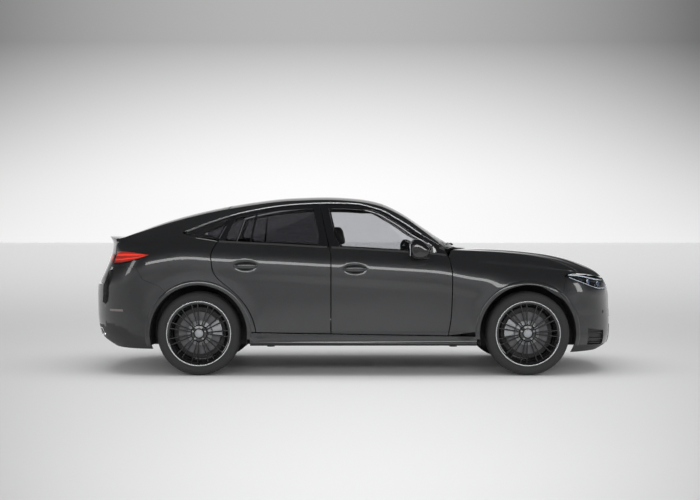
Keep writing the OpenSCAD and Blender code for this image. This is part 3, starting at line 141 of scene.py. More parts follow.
@dataclass
class BodyForm:
    """The body's surface: every skin panel is a patch of it."""

    length: float = 4763.0
    body_w: float = 1890.0
    roof_h: float = 1595.0
    wheelbase: float = 2888.0
    front_overhang: float = 853.0
    tyre_d: float = 736.0
    arch_r: float = 428.0
    sill_h: float = 262.0
    gap: float = 8.0
    flare: float = 14.0
    flare_reach: float = 85.0

    def __post_init__(self) -> None:
        """Works out the stations along the car and its key lines."""
        self.x_front, self.x_rear = self.length / 2, -self.length / 2
        self.axle_f = self.x_front - self.front_overhang
        self.axle_r = self.axle_f - self.wheelbase
        self.hub_z, self.half_w = self.tyre_d / 2, self.body_w / 2
        self.split_x = self.axle_f - 1734
        self.corner_f, self.corner_r = self.axle_f + 222, self.axle_r - 440
        self.cowl_x, self.cowl_z = self.axle_f - 543, self.roof_h - 477
        self.bonnet_half = self.half_w - 183
        self.a_base_x = self.axle_f - 708
        self._upper_lines()
        self._cut_lines()
        self._end_lines()

    def _upper_lines(self) -> None:
        """Centreline, crown, roof rail, belt and window line in side view."""
        f, r, s, h, w = self.axle_f, self.axle_r, self.split_x, self.roof_h, self.half_w
        self.top = Curve([
            (r - 935, h - 367), (r - 780, h - 366), (r - 705, h - 350), (r - 640, h - 323), (r - 410, h - 237),
            (r - 181, h - 170), (r + 105, h - 104), (r + 392, h - 54), (s - 476, h - 17), (s - 244, h - 4),
            (s - 18, h), (s + 206, h - 12), (s + 356, h - 32), (f - 1237, h - 71), (f - 1065, h - 157),
            (f - 893, h - 272), (f - 721, h - 386), (f - 540, h - 490),
        ])
        self.crown = Curve([
            (r - 935, 24), (r - 705, 34), (r - 410, 50), (r + 105, 48), (s, 44), (s + 206, 45), (f - 1237, 50),
            (f - 1065, 54), (f - 893, 62), (f - 790, 74), (f - 708, 86),
        ])
        self.rail_y = Curve([
            (r - 935, w - 330), (r - 780, w - 305), (r - 410, w - 305), (r + 105, w - 333), (s - 476, w - 333),
            (s + 206, w - 320), (f - 1237, w - 305), (f - 893, w - 260), (f - 708, w - 231),
        ])
        self.belt = Curve([
            (r - 890, 1040), (r - 640, 1092), (r - 390, 1154), (r - 136, 1190), (r + 160, 1174), (r + 410, 1160),
            (s - 444, 1146), (s - 94, 1126), (s + 256, 1108), (f - 1098, 1085), (f - 828, 1066), (f - 708, 1050),
            (f - 528, 1012), (f - 278, 978), (f, 950), (f + 252, 925), (f + 472, 905), (f + 780, 880),
        ])
        self.dlo = Curve([
            (r - 136, 1257), (r + 60, 1336), (r + 240, 1396), (r + 422, 1443), (s - 457, 1490), (s - 151, 1513),
            (s + 120, 1515), (s + 262, 1506),
        ])
        self.bulge = Curve([
            (r - 640, 1.5), (r - 140, 1.25), (r + 360, 1.12), (f - 1028, 1.12), (f - 708, 1.35), (f - 328, 1.7),
            (f + 472, 1.8),
        ])

    def _cut_lines(self) -> None:
        """Door cuts in side view, x by height, and the window line over the A-pillar."""
        f, r, s = self.axle_f, self.axle_r, self.split_x
        self.split = Curve([
            (370, s + 6), (700, s + 6), (1020, s + 6), (1060, s + 3), (1120, s - 10), (1310, s - 54), (1510, s - 100),
        ])
        self.front_cut = Curve([
            (340, f - 706), (500, f - 678), (720, f - 667), (923, f - 669), (1050, f - 698), (1110, f - 728),
            (1160, f - 794), (1237, f - 928), (1320, f - 1048), (1397, f - 1176), (1450, f - 1272), (1486, s + 340),
            (1506, s + 262),
        ])
        self.rear_cut = Curve([
            (370, r + 506), (420, r + 497), (500, r + 474), (600, r + 424), (700, r + 345), (780, r + 255),
            (850, r + 172), (910, r + 130), (1000, r + 113), (1070, r + 110), (1174, r + 160), (1300, r + 218),
            (1396, r + 262),
        ])
        pillar = [(float(self.front_cut(z)), z) for z in range(1500, 1110, -16)]
        self.pillar_line = Curve([(s + 200, 1511.5), (s + 240, 1508.5)] + pillar)

    def _end_lines(self) -> None:
        """Plan taper and the set-back of nose and tail by height."""
        f, r, s = self.axle_f, self.axle_r, self.split_x
        self.plan = Curve([
            (r - 1022, 0.895), (r - 640, 0.953), (r - 340, 0.978), (r, 0.991), (r + 460, 0.998), (s, 1),
            (f - 1028, 0.999), (f - 628, 0.994), (f - 278, 0.986), (f, 0.974), (f + 222, 0.958), (f + 472, 0.936),
            (f + 853, 0.9),
        ])
        self.nose_set = Curve([
            (150, 190), (206, 92), (248, 27), (320, 4), (474, 0), (610, 10), (720, 17), (800, 38), (857, 72),
            (930, 130),
        ])
        self.tail_set = Curve([
            (200, 230), (280, 92), (326, 47), (445, 10), (600, 0), (760, 0), (810, 9), (900, 52), (990, 92),
            (1080, 120), (1160, 130), (1200, 118), (1228, 82),
        ])
        self.lead_z = Curve([(0, 857), (0.36, 850), (0.72, 872), (1, 897)])
        self.bonnet_fall = Curve([
            (0, 1), (0.17, 0.958), (0.385, 0.9), (0.6, 0.785), (0.7, 0.69), (0.79, 0.57), (0.896, 0.36),
            (0.96, 0.18), (1, 0),
        ])

    def window_line(self, x: Number) -> Array:
        """Upper edge of the side windows."""
        return np.where(np.asarray(x) > self.split_x + 240, self.pillar_line(x), self.dlo(x))

    def side_inset(self, z: Number, belt: Number) -> Array:
        """How far the side lies inside the body's greatest width."""
        low = self.sill_h
        at = [low - 20, low + 20, low + 68, low + 122, low + 260, belt - 330, belt - 230, belt - 150, belt - 75, belt]
        return smooth(at, [60, 32, 13, 15, 12, 6, 1, 5, 28, 74], z)

    def nose_x(self, z: Number) -> Array:
        """Foremost x at a height."""
        return self.x_front - self.nose_set(z)

    def tail_x(self, z: Number) -> Array:
        """Rearmost x at a height."""
        return self.x_rear + self.tail_set(z)

    def corner(self, x: Number, z: Number) -> Array:
        """Narrowing of the flank where it turns into the nose and the tail.

        Args:
            x: Place along the car.
            z: Height.

        Returns:
            Share of the width that is left.
        """
        x = np.asarray(x, float)
        ahead = np.clip((x - self.corner_f) / (self.nose_x(z) - self.corner_f), 0, 1)
        behind = np.clip((x - self.corner_r) / (self.tail_x(z) - self.corner_r), 0, 1)
        return np.cbrt((1 - ahead**2) * (1 - behind**2))

    def arch_swell(self, x: Number, z: Number) -> Array:
        """Swelling of the side round the wheel arches."""
        x, z = np.asarray(x, float), np.asarray(z, float)
        near = np.minimum(np.hypot(x - self.axle_f, z - self.hub_z), np.hypot(x - self.axle_r, z - self.hub_z))
        return self.flare * np.exp(-(((near - self.arch_r) / self.flare_reach) ** 2))

    def lower_y(self, x: Number, z: Number) -> Array:
        """Half width below the belt, before corners and arches."""
        return (self.half_w - self.side_inset(z, self.belt(x))) * self.plan(x)

    def _swept(self, x: Array, turn: Array, z: Array) -> Array:
        """Point of the nose or tail at an x and a turn from the flank, in radians."""
        level = np.minimum(z, self.belt(x))
        y = (self.lower_y(x, level) + self.arch_swell(x, z)) * np.maximum(np.cos(turn), 0) ** (2 / 3)
        return np.stack(np.broadcast_arrays(x, y, np.asarray(z, float)), -1)

    def nose(self, phi: Number, z: Number) -> Array:
        """Point of the nose: 0 degrees on the flank, 90 on the centreline."""
        turn = np.radians(phi)
        x = self.corner_f + (self.nose_x(z) - self.corner_f) * np.sin(turn)
        return self._swept(x, turn, np.asarray(z, float))

    def tail(self, phi: Number, z: Number) -> Array:
        """Point of the tail: 0 degrees on the flank, 90 on the centreline."""
        turn = np.radians(phi)
        x = self.corner_r + (self.tail_x(z) - self.corner_r) * np.sin(turn)
        return self._swept(x, turn, np.asarray(z, float))

    def cowl_pt(self, w: Number) -> tuple[Array, Array, Array]:
        """Rear edge of the bonnet: w is 0 on the centreline and 1 at the fender."""
        w = np.asarray(w, float)
        return lerp(self.cowl_x, self.a_base_x, w**2.2), self.bonnet_half * w, self.cowl_z - 14 * w * w

    def lead_pt(self, w: Number) -> tuple[Array, Array, Array]:
        """Front edge of the bonnet."""
        p = self.nose(90 - 62 * np.asarray(w, float), self.lead_z(w))
        return p[..., 0], p[..., 1], p[..., 2]

    def bonnet_pt(self, u: Number, w: Number) -> Array:
        """Point of the bonnet between its rear edge, u = 0, and its front edge, u = 1."""
        c, e, g = self.cowl_pt(w), self.lead_pt(w), self.bonnet_fall(u)
        x, y, z = lerp(c[0], e[0], u), lerp(c[1], e[1], u), lerp(e[2], c[2], g)
        return np.stack(np.broadcast_arrays(x, y, z), -1)

    def edge(self, x: Number) -> tuple[Array, Array]:
        """Upper edge of the flank, y and z: roof rail, then the bonnet's edge ahead of the windscreen.

        Args:
            x: Place along the car.

        Returns:
            Y and z of the edge.
        """
        x = np.asarray(x, float)
        rear, front = float(self.cowl_pt(1)[0]), float(self.lead_pt(1)[0])
        p = self.bonnet_pt(np.clip((x - rear) / (front - rear), 0, 1), 1.0)
        behind = x <= self.a_base_x
        return np.where(behind, self.rail_y(x), p[..., 1]), np.where(behind, self.top(x) - self.crown(x), p[..., 2])

    def flank_y(self, x: Number, z: Number) -> Array:
        """Half width of the flank at a side view point.

        Args:
            x: Place along the car.
            z: Height.

        Returns:
            Half width.
        """
        x, z = np.broadcast_arrays(np.asarray(x, float), np.asarray(z, float))
        zb = self.belt(x)
        low = self.lower_y(x, z) * self.corner(x, z) + self.arch_swell(x, z)
        ey, ez = self.edge(x)
        t = np.clip((z - zb) / np.maximum(ez - zb, 1), 0, 1)
        yb = self.lower_y(x, zb) * self.corner(x, zb) + self.arch_swell(x, zb)
        high = ey + (yb - ey) * (1 - t ** self.bulge(x))
        return np.where(z <= zb, low, high)

    def flank(self, x: Number, z: Number) -> Array:
        """Point of the left flank."""
        x, z = np.broadcast_arrays(np.asarray(x, float), np.asarray(z, float))
        return np.stack([x, self.flank_y(x, z), z], -1)

    def roof_pt(self, x: Number, s: Number) -> Array:
        """Point of the roof, the windscreen or the tailgate's glass: s runs from -1 to 1 across."""
        x, s = np.broadcast_arrays(np.asarray(x, float), np.asarray(s, float))
        ey, ez = self.edge(x)
        return np.stack([x, ey * s, ez + (self.top(x) - ez) * (1 - s * s)], -1)

    def arch_pt(self, axle_x: float, r: Number, degrees: Number) -> tuple[Array, Array]:
        """Side view point on a circle round a wheel."""
        a = np.radians(degrees)
        return axle_x + r * np.cos(a), self.hub_z + r * np.sin(a)


FORM = BodyForm()


class Way(Enum):
    """Direction in which a panel's thickness goes."""

    SIDE = "straight inward on a flank"
    TOP = "straight down"
    PLAN = "level, along the plan view's normal"
    NORMAL = "along the surface's normal"


def grid_normals(grid: Array) -> Array:
    """Outward unit normals of a grid whose rows run up and columns forward on the left flank."""
    across = np.gradient(grid, axis=1)
    up = np.gradient(grid, axis=0)
    return unit(np.cross(up, across))


def sunk(grid: Array, depth: Number, way: Way) -> Array:
    """A copy of a grid set in by a depth.

    Args:
        grid: Points of the outer surface, rows by columns by 3.
        depth: One depth, or one for each point.
        way: Direction of the depth.

    Returns:
        The inner grid.
    """
    depth = np.broadcast_to(np.asarray(depth, float), grid.shape[:2])[..., None]
    n = grid_normals(grid)
    if way is Way.SIDE:
        n = np.zeros_like(grid) + np.array([0.0, 1.0, 0.0])
    elif way is Way.TOP:
        n = np.zeros_like(grid) + np.array([0.0, 0.0, 1.0])
    elif way is Way.PLAN:
        n = unit(n * np.array([1.0, 1.0, 0.0]))
    return grid - n * depth


@dataclass
class Shape:
    """A mesh while it is put together: points in millimetres, faces and each face's material index."""

    points: list[Point] = field(default_factory=list)
    faces: list[tuple[int, ...]] = field(default_factory=list)
    marks: list[int] = field(default_factory=list)

    def add(self, points: Sequence[Point], faces: Sequence[Sequence[int]], mark: int = 0) -> "Shape":
        """Adds points and the faces between them, with a material index for all of these faces.

        Args:
            points: New points.
            faces: Faces by index into the new points.
            mark: Material index.

        Returns:
            This shape.
        """
        base = len(self.points)
        self.points.extend(tuple(map(float, p)) for p in points)
        self.faces.extend(tuple(base + i for i in f) for f in faces)
        self.marks.extend([mark] * len(faces))
        return self

    def slab(
        self, outer: Array, inner: Array, mark: int = 0, inner_mark: Optional[int] = None,
        holes: Sequence[tuple[int, int, int, int]] = (), marks: Optional[Array] = None,
    ) -> "Shape":
        """Adds a closed panel between two grids.

        Args:
            outer: Outer surface, rows up and columns forward on the left flank.
            inner: Inner surface, point for point.
            mark: Material index of the outside and the edges.
            inner_mark: Material index of the inside, as the outside where left out.
            holes: Cells left open, each (row from, row to, column from, column to).
            marks: Material index of each outer cell, where it varies.

        Returns:
            This shape.
        """
        rows, cols = outer.shape[:2]
        live = np.ones((rows + 1, cols + 1), bool)
        live[0, :] = live[-1, :] = live[:, 0] = live[:, -1] = False
        for r0, r1, c0, c1 in holes:
            live[r0 + 1:r1 + 1, c0 + 1:c1 + 1] = False
        base, count = len(self.points), rows * cols
        self.points.extend(map(tuple, outer.reshape(-1, 3)))
        self.points.extend(map(tuple, inner.reshape(-1, 3)))
        inside = mark if inner_mark is None else inner_mark
        for i in range(rows - 1):
            for j in range(cols - 1):
                if not live[i + 1, j + 1]:
                    continue
                a = base + i * cols + j
                b, c, d = a + 1, a + cols + 1, a + cols
                own = mark if marks is None else int(marks[i, j])
                self._face((a, b, c, d), own)
                self._face((a + count, d + count, c + count, b + count), inside)
                walls = ((i, j + 1, a, b), (i + 1, j + 2, b, c), (i + 2, j + 1, c, d), (i + 1, j, d, a))
                for r, q, p0, p1 in walls:
                    if not live[r, q]:
                        self._face((p1, p0, p0 + count, p1 + count), own)
        return self

    def _face(self, corners: tuple[int, ...], mark: int) -> None:
        """Adds one face."""
        self.faces.append(corners)
        self.marks.append(mark)

    def tube(self, rings: Array, mark: int = 0, closed: bool = False) -> "Shape":
        """Adds a skin over rings of points, capped unless the last ring meets the first.

        Args:
            rings: Rings by points by 3.
            mark: Material index.
            closed: Whether the last ring meets the first.

        Returns:
            This shape.
        """
        n, m = rings.shape[:2]
        faces = []
        for i in range(n if closed else n - 1):
            k = (i + 1) % n
            for j in range(m):
                q = (j + 1) % m
                faces.append((i * m + j, i * m + q, k * m + q, k * m + j))
        if not closed:
            faces.append(tuple(range(m))[::-1])
            faces.append(tuple((n - 1) * m + j for j in range(m)))
        return self.add(rings.reshape(-1, 3), faces, mark)

    def sweep(self, path: Array, profile: Array, up: Point = (0, 0, 1), closed: bool = False) -> "Shape":
        """Adds a profile swept along a path.

        Args:
            path: Points of the path.
            profile: Points (sideways, up) of the closed section.
            up: Direction that the section's second axis keeps to.
            closed: Whether the path is a loop.

        Returns:
            This shape.
        """
        path = np.asarray(path, float)
        if closed:
            ahead = np.roll(path, -1, 0) - np.roll(path, 1, 0)
        else:
            ahead = np.gradient(path, axis=0)
        ahead = unit(ahead)
        side = unit(np.cross(ahead, np.asarray(up, float)))
        rise = np.cross(side, ahead)
        rings = path[:, None] + side[:, None] * profile[None, :, :1] + rise[:, None] * profile[None, :, 1:]
        return self.tube(rings, closed=closed)

    def lathe(self, profile: Array, steps: int, mark: int = 0) -> "Shape":
        """Adds a closed profile (radius, along the axis) turned round the Y axis.

        Args:
            profile: Points (radius, along the axis).
            steps: Points round the axis.
            mark: Material index.

        Returns:
            This shape.
        """
        turn = circle(steps)
        r, y = profile[:, 0], profile[:, 1]
        rings = np.stack([
            np.cos(turn)[:, None] * r, np.broadcast_to(y, (steps, len(y))), np.sin(turn)[:, None] * r,
        ], -1)
        n = len(profile)
        faces = []
        for i in range(steps):
            k = (i + 1) % steps
            for j in range(n):
                q = (j + 1) % n
                faces.append((i * n + j, k * n + j, k * n + q, i * n + q))
        return self.add(rings.reshape(-1, 3), faces, mark)

    def block(self, lo: Point, hi: Point, mark: int = 0) -> "Shape":
        """Adds a box, to be rounded by a bevel.

        Args:
            lo: Lower corner.
            hi: Upper corner.
            mark: Material index.

        Returns:
            This shape.
        """
        (x0, y0, z0), (x1, y1, z1) = lo, hi
        points = [(x, y, z) for z in (z0, z1) for y in (y0, y1) for x in (x0, x1)]
        faces = [(0, 2, 3, 1), (4, 5, 7, 6), (0, 1, 5, 4), (2, 6, 7, 3), (0, 4, 6, 2), (1, 3, 7, 5)]
        return self.add(points, faces, mark)

    def moved(self, shift: Point = (0, 0, 0), turn: Optional[Array] = None) -> "Shape":
        """A copy turned by a 3 by 3 matrix and then shifted.

        Args:
            shift: Shift in millimetres.
            turn: Matrix to turn by first, if any.

        Returns:
            The copy.
        """
        p = np.array(self.points)
        if turn is not None:
            p = p @ np.asarray(turn).T
        return Shape([tuple(q) for q in p + np.asarray(shift, float)], list(self.faces), list(self.marks))

    def mirrored(self) -> "Shape":
        """A copy on the other side of the car."""
        points = [(x, -y, z) for x, y, z in self.points]
        return Shape(points, [f[::-1] for f in self.faces], list(self.marks))

    def for_side(self, side: Side) -> "Shape":
        """This shape, made on the left, for a side."""
        return self if side is Side.LEFT else self.mirrored()

    def marked(self, mark: int) -> "Shape":
        """This shape with one material index for all of its faces."""
        self.marks = [mark] * len(self.marks)
        return self

    def join(self, other: "Shape") -> "Shape":
        """Adds another shape with its material indices.

        Args:
            other: The shape to add.

        Returns:
            This shape.
        """
        base = len(self.points)
        self.points.extend(other.points)
        self.faces.extend(tuple(base + i for i in f) for f in other.faces)
        self.marks.extend(other.marks)
        return self


@dataclass(frozen=True)
class Finish:
    """How a piece's edges and shading are finished."""

    bevel: float = 2.0
    segments: int = 2
    sharp: float = 38.0
    subdivide: int = 0


def make_piece(
    name: str, shape: Shape, body: str, materials: Sequence[bpy.types.Material],
    replaces: Sequence[str] = (), finish: Finish = Finish(),
) -> bpy.types.Object:
    """Turns a shape into a piece of the model.

    Args:
        name: Name of the piece.
        shape: Its mesh, in millimetres.
        body: The body that it moves with.
        materials: Materials by index.
        replaces: Nodes that it stands for.
        finish: Bevel, shading and subdivision.

    Returns:
        The new object.
    """
    mesh = bpy.data.meshes.new(name)
    mesh.from_pydata([(x * MM, y * MM, z * MM) for x, y, z in shape.points], [], shape.faces)
    for m in materials:
        mesh.materials.append(m)
    mesh.polygons.foreach_set("material_index", shape.marks)
    work = bmesh.new()
    work.from_mesh(mesh)
    bmesh.ops.remove_doubles(work, verts=work.verts, dist=1e-6)
    bmesh.ops.dissolve_degenerate(work, edges=work.edges, dist=1e-6)
    bmesh.ops.recalc_face_normals(work, faces=work.faces)
    work.to_mesh(mesh)
    work.free()
    mesh.polygons.foreach_set("use_smooth", [True] * len(mesh.polygons))
    mesh.set_sharp_from_angle(angle=math.radians(finish.sharp))
    piece = bpy.data.objects.new(name, mesh)
    bpy.context.scene.collection.objects.link(piece)
    if finish.bevel > 0:
        bevel = piece.modifiers.new("edge", "BEVEL")
        bevel.width, bevel.segments = finish.bevel * MM, finish.segments
        bevel.limit_method, bevel.angle_limit = "ANGLE", math.radians(finish.sharp)
        bevel.harden_normals = True
    if finish.subdivide:
        rounder = piece.modifiers.new("round", "SUBSURF")
        rounder.levels = rounder.render_levels = finish.subdivide
    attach(piece, body)
    if replaces:
        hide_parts(*replaces)
    log.info("%s: %d faces on %s", name, len(mesh.polygons), body)
    return piece


def math_node(operation: str, swapped: bool = False) -> Callable[["Wire", "Value"], "Wire"]:
    """A method of Wire that adds one Math node, with its two inputs swapped for a number on the left.

    Args:
        operation: The Math node's operation.
        swapped: Whether the other value comes first.

    Returns:
        The method.
    """
    def method(self: "Wire", other: "Value") -> "Wire":
        """Adds the node."""
        pair = (other, self) if swapped else (self, other)
        return self.book.node("ShaderNodeMath", {"operation": operation}, dict(enumerate(pair)))
    return method


class Wire:
    """A shader value: arithmetic on it adds Math nodes."""

    __add__ = __radd__ = math_node("ADD")
    __mul__ = math_node("MULTIPLY")
    __sub__ = math_node("SUBTRACT")
    __rsub__ = math_node("SUBTRACT", True)
    __truediv__ = math_node("DIVIDE")
    __rtruediv__ = math_node("DIVIDE", True)
    __pow__ = math_node("POWER")
    at_least = math_node("MAXIMUM")
    at_most = math_node("MINIMUM")
    above = math_node("GREATER_THAN")

    def __init__(self, book: "Book", socket: bpy.types.NodeSocket) -> None:
        """Keeps the socket and the tree that it belongs to."""
        self.book, self.socket = book, socket


Value = Union[Wire, float, tuple]
Colour = tuple[float, float, float]


class Book:
    """The node tree of one material or of the world."""

    def __init__(self, tree: bpy.types.NodeTree) -> None:
        """Empties the tree."""
        self.tree = tree
        tree.nodes.clear()

    def node(self, kind: str, settings: dict, sockets: dict, out: Union[int, str] = 0) -> Wire:
        """Adds a node.

        Args:
            kind: The node's type.
            settings: Its properties, or "stops" for a ramp's (place, colour) pairs.
            sockets: Inputs by name or index, each a number, a tuple or a Wire.
            out: The output to return.

        Returns:
            The chosen output.
        """
        made = self.tree.nodes.new(kind)
        for key, value in settings.items():
            if key == "stops":
                ramp = made.color_ramp.elements
                while len(ramp) < len(value):
                    ramp.new(1.0)
                for element, (place, colour) in zip(ramp, value):
                    element.position, element.color = place, (*colour, 1.0)
            else:
                setattr(made, key, value)
        for key, value in sockets.items():
            if isinstance(value, Wire):
                self.tree.links.new(value.socket, made.inputs[key])
            else:
                made.inputs[key].default_value = value
        return Wire(self, made.outputs[out]) if len(made.outputs) else Wire(self, None)

    def place(self) -> Wire:
        """Position on the piece in metres."""
        return self.node("ShaderNodeTexCoord", {}, {}, "Object")

    def axes(self, names: str) -> list[Wire]:
        """Some of the position's coordinates."""
        at = self.place()
        return [self.node("ShaderNodeSeparateXYZ", {}, {"Vector": at}, k) for k in names]

    def noise(self, scale: float, detail: float = 3.0) -> Wire:
        """Cloudy noise from 0 to 1, with a scale in cells a metre."""
        sockets = {"Vector": self.place(), "Scale": scale, "Detail": detail}
        return self.node("ShaderNodeTexNoise", {}, sockets, "Fac")

    def cells(self, scale: float, out: str = "Distance") -> Wire:
        """Cell pattern, with a scale in cells a metre."""
        return self.node("ShaderNodeTexVoronoi", {}, {"Vector": self.place(), "Scale": scale}, out)

    def mix(self, factor: Value, a: Union[Colour, Wire], b: Union[Colour, Wire]) -> Wire:
        """Blend of two colours."""
        sides = [c if isinstance(c, Wire) else (*c, 1.0) for c in (a, b)]
        return self.node("ShaderNodeMix", {"data_type": "RGBA"}, {0: factor, 6: sides[0], 7: sides[1]}, 2)

    def bump(self, height: Wire, distance: float) -> Wire:
        """Normal of a height in metres."""
        return self.node("ShaderNodeBump", {}, {"Height": height, "Distance": distance, "Strength": 1.0})


def new_material(name: str, surface: Callable[[Book], Wire]) -> bpy.types.Material:
    """A material whose shader a function adds to its node tree.

    Args:
        name: Name of the material.
        surface: Adds the shader and returns it.

    Returns:
        The material.
    """
    material = bpy.data.materials.new(name)
    material.use_nodes = True
    book = Book(material.node_tree)
    book.node("ShaderNodeOutputMaterial", {}, {"Surface": surface(book)})
    return material


@dataclass(frozen=True)
class Surface:
    """A finish: steady values of the shader, with noise for colour, gloss and grain."""

    name: str
    colour: Colour
    roughness: float = 0.5
    metallic: float = 0.0
    coat: float = 0.0
    coat_roughness: float = 0.03
    transmission: float = 0.0
    ior: float = 1.5
    specular: float = 0.5
    sheen: float = 0.0
    emission: Optional[Colour] = None
    emission_strength: float = 0.0
    vary: float = 0.12
    vary_scale: float = 9.0
    rough_vary: float = 0.05
    grain: float = 0.0
    grain_scale: float = 900.0
    cells: bool = False

    def make(self) -> bpy.types.Material:
        """Builds the material."""
        return new_material(self.name, self._shader)

    def _shader(self, book: Book) -> Wire:
        """Adds the shader to a node tree.

        Args:
            book: The node tree.

        Returns:
            The shader.
        """
        cloud = book.noise(self.vary_scale)
        dark = tuple(c * (1 - self.vary) for c in self.colour)
        light = tuple(min(1.0, c * (1 + self.vary)) for c in self.colour)
        sockets: dict = {
            "Base Color": book.mix(cloud, dark, light),
            "Roughness": cloud * (2 * self.rough_vary) + max(0.0, self.roughness - self.rough_vary),
            "Metallic": self.metallic, "Coat Weight": self.coat, "Coat Roughness": self.coat_roughness,
            "Transmission Weight": self.transmission, "IOR": self.ior, "Specular IOR Level": self.specular,
            "Sheen Weight": self.sheen,
        }
        if self.transmission > 0:
            sockets["Base Color"], sockets["Roughness"] = (*self.colour, 1.0), self.roughness
        if self.emission:
            sockets["Emission Color"] = (*self.emission, 1.0)
            sockets["Emission Strength"] = self.emission_strength
        if self.grain:
            fine = book.cells(self.grain_scale) if self.cells else book.noise(self.grain_scale, 2.0)
            sockets["Normal"] = book.bump(fine, self.grain)
        return book.node("ShaderNodeBsdfPrincipled", {}, sockets, "BSDF")


@dataclass(frozen=True)
class FlakePaint:
    """Metallic paint: a dark base with fine bright flakes under a clear coat."""

    name: str
    base: Colour
    flake: Colour
    flake_scale: float = 1400.0

    def make(self) -> bpy.types.Material:
        """Builds the material."""
        return new_material(self.name, self._shader)

    def _shader(self, book: Book) -> Wire:
        """Adds the shader to a node tree.

        Args:
            book: The node tree.

        Returns:
            The shader.
        """
        spark = book.cells(self.flake_scale, out="Color")
        glint = book.node("ShaderNodeSeparateColor", {}, {"Color": spark}, 0)
        broad = book.noise(1.7, 2.0)
        colour = book.mix(glint.above(0.72) * 0.5 + broad * 0.16, self.base, self.flake)
        return book.node("ShaderNodeBsdfPrincipled", {}, {
            "Base Color": colour, "Metallic": 0.62, "Roughness": 0.3 + glint * 0.07,
            "Coat Weight": 1.0, "Coat Roughness": 0.02, "Coat IOR": 1.5, "Specular IOR Level": 0.5,
        }, "BSDF")


class Palette:
    """Every material of the car, made once."""

    def __init__(self) -> None:
        """Makes the materials."""
        self.paint = FlakePaint("graphite_paint", (0.02, 0.0205, 0.0215), (0.07, 0.072, 0.076)).make()
        self.gloss_black = Surface("gloss_black_trim", (0.008, 0.008, 0.009), 0.08, coat=0.6, vary=0.05).make()
        self.satin_black = Surface("moulded_black_plastic", (0.018, 0.018, 0.019), 0.5, grain=3e-5).make()
        self.under = Surface("underbody_coating", (0.02, 0.02, 0.021), 0.72, grain=2e-4, grain_scale=260).make()
        self.bright = Surface("bright_trim", (0.72, 0.73, 0.74), 0.16, 1.0, vary=0.03).make()
        self.glass = Surface("clear_glass", (0.7, 0.705, 0.72), 0.0, transmission=1.0, ior=1.45).make()
        self.tint = Surface("privacy_glass", (0.17, 0.168, 0.18), 0.0, transmission=1.0, ior=1.45).make()
        self.lens = Surface("lamp_lens", (0.9, 0.93, 0.96), 0.02, transmission=1.0, ior=1.4).make()
        self.red_lens = Surface("tail_lamp_lens", (0.42, 0.03, 0.02), 0.05, coat=1.0, vary=0.1).make()
        self.red_bar = Surface(
            "tail_lamp_bar", (0.85, 0.05, 0.03), 0.2, coat=1.0, emission=(1.0, 0.05, 0.03), emission_strength=0.2,
        ).make()
        self.lamp_white = Surface(
            "lamp_light_guide", (0.85, 0.87, 0.9), 0.2, emission=(0.85, 0.92, 1.0), emission_strength=0.35,
        ).make()
        self.reflector = Surface("reflector_lens", (0.16, 0.13, 0.13), 0.2, coat=1.0).make()
        self.lamp_blue = Surface("projector_lens", (0.05, 0.12, 0.3), 0.04, coat=1.0).make()
        self.lamp_dark = Surface("lamp_housing", (0.03, 0.032, 0.036), 0.22, 0.5).make()
        self.tyre = Surface("tyre_rubber", (0.022, 0.022, 0.023), 0.78, grain=2e-4, grain_scale=700).make()
        self.rim_black = Surface("black_rim_lacquer", (0.012, 0.012, 0.013), 0.16, 0.3, coat=0.8, vary=0.05).make()
        self.rim_cut = Surface("machined_rim_face", (0.6, 0.61, 0.62), 0.24, 1.0, vary=0.06, vary_scale=40).make()
        self.steel = Surface(
            "brake_steel", (0.13, 0.13, 0.135), 0.42, 1.0, vary=0.2, vary_scale=60, grain=4e-5, grain_scale=500,
        ).make()
        self.alloy = Surface("cast_aluminium", (0.36, 0.37, 0.38), 0.48, 0.9, grain=1.5e-4, grain_scale=350).make()
        self.pipe = Surface("exhaust_steel", (0.34, 0.32, 0.3), 0.36, 1.0, vary=0.25).make()
        self.leather = Surface(
            "black_leather", (0.028, 0.027, 0.027), 0.48, sheen=0.15, grain=2.5e-4, grain_scale=420, cells=True,
        ).make()
        self.cabin = Surface(
            "cabin_plastic", (0.026, 0.026, 0.028), 0.56, grain=1.2e-4, grain_scale=600, cells=True,
        ).make()
        self.carpet = Surface("carpet", (0.02, 0.02, 0.021), 0.95, sheen=0.3, grain=6e-4, grain_scale=900).make()
        self.lining = Surface("headlining_cloth", (0.09, 0.09, 0.092), 0.9, sheen=0.2, grain=2e-4).make()
        self.screen = Surface("display_glass", (0.006, 0.007, 0.009), 0.06, coat=0.5, vary=0.02).make()
        self.mirror = Surface("mirror_glass", (0.5, 0.51, 0.53), 0.02, 1.0, vary=0.01).make()
        self.plate_white = Surface("blank_plate_white", (0.72, 0.72, 0.7), 0.45).make()
        self.amber = Surface("amber_lens", (0.75, 0.25, 0.02), 0.15, coat=1.0).make()


Outline = Callable[[Array], tuple[Array, Array]]
SEAM = 0.6
SKIN = 8.0
DOOR_ROWS = (0.0, 0.07, 0.26, 0.46, 0.66, 0.84, 1.0)


def inset(opening: Array, row_axis: int, column_axis: int) -> Array:
    """A pane for an opening, smaller by the seam all round.

    Args:
        opening: Grid of the opening.
        row_axis: Axis along which rows follow each other.
        column_axis: Axis along which columns follow each other.

    Returns:
        Grid of the pane.
    """
    pane = opening.copy()
    pane[0, :, row_axis] += SEAM
    pane[-1, :, row_axis] -= SEAM
    pane[:, 0, column_axis] += SEAM
    pane[:, -1, column_axis] -= SEAM
    return pane


def spread(anchors: Sequence[float], steps: Sequence[int]) -> Array:
    """Values from anchor to anchor, with a number of steps for each stretch."""
    parts = [np.linspace(a, b, n, endpoint=False) for a, b, n in zip(anchors, anchors[1:], steps)]
    return np.append(np.concatenate(parts), anchors[-1])


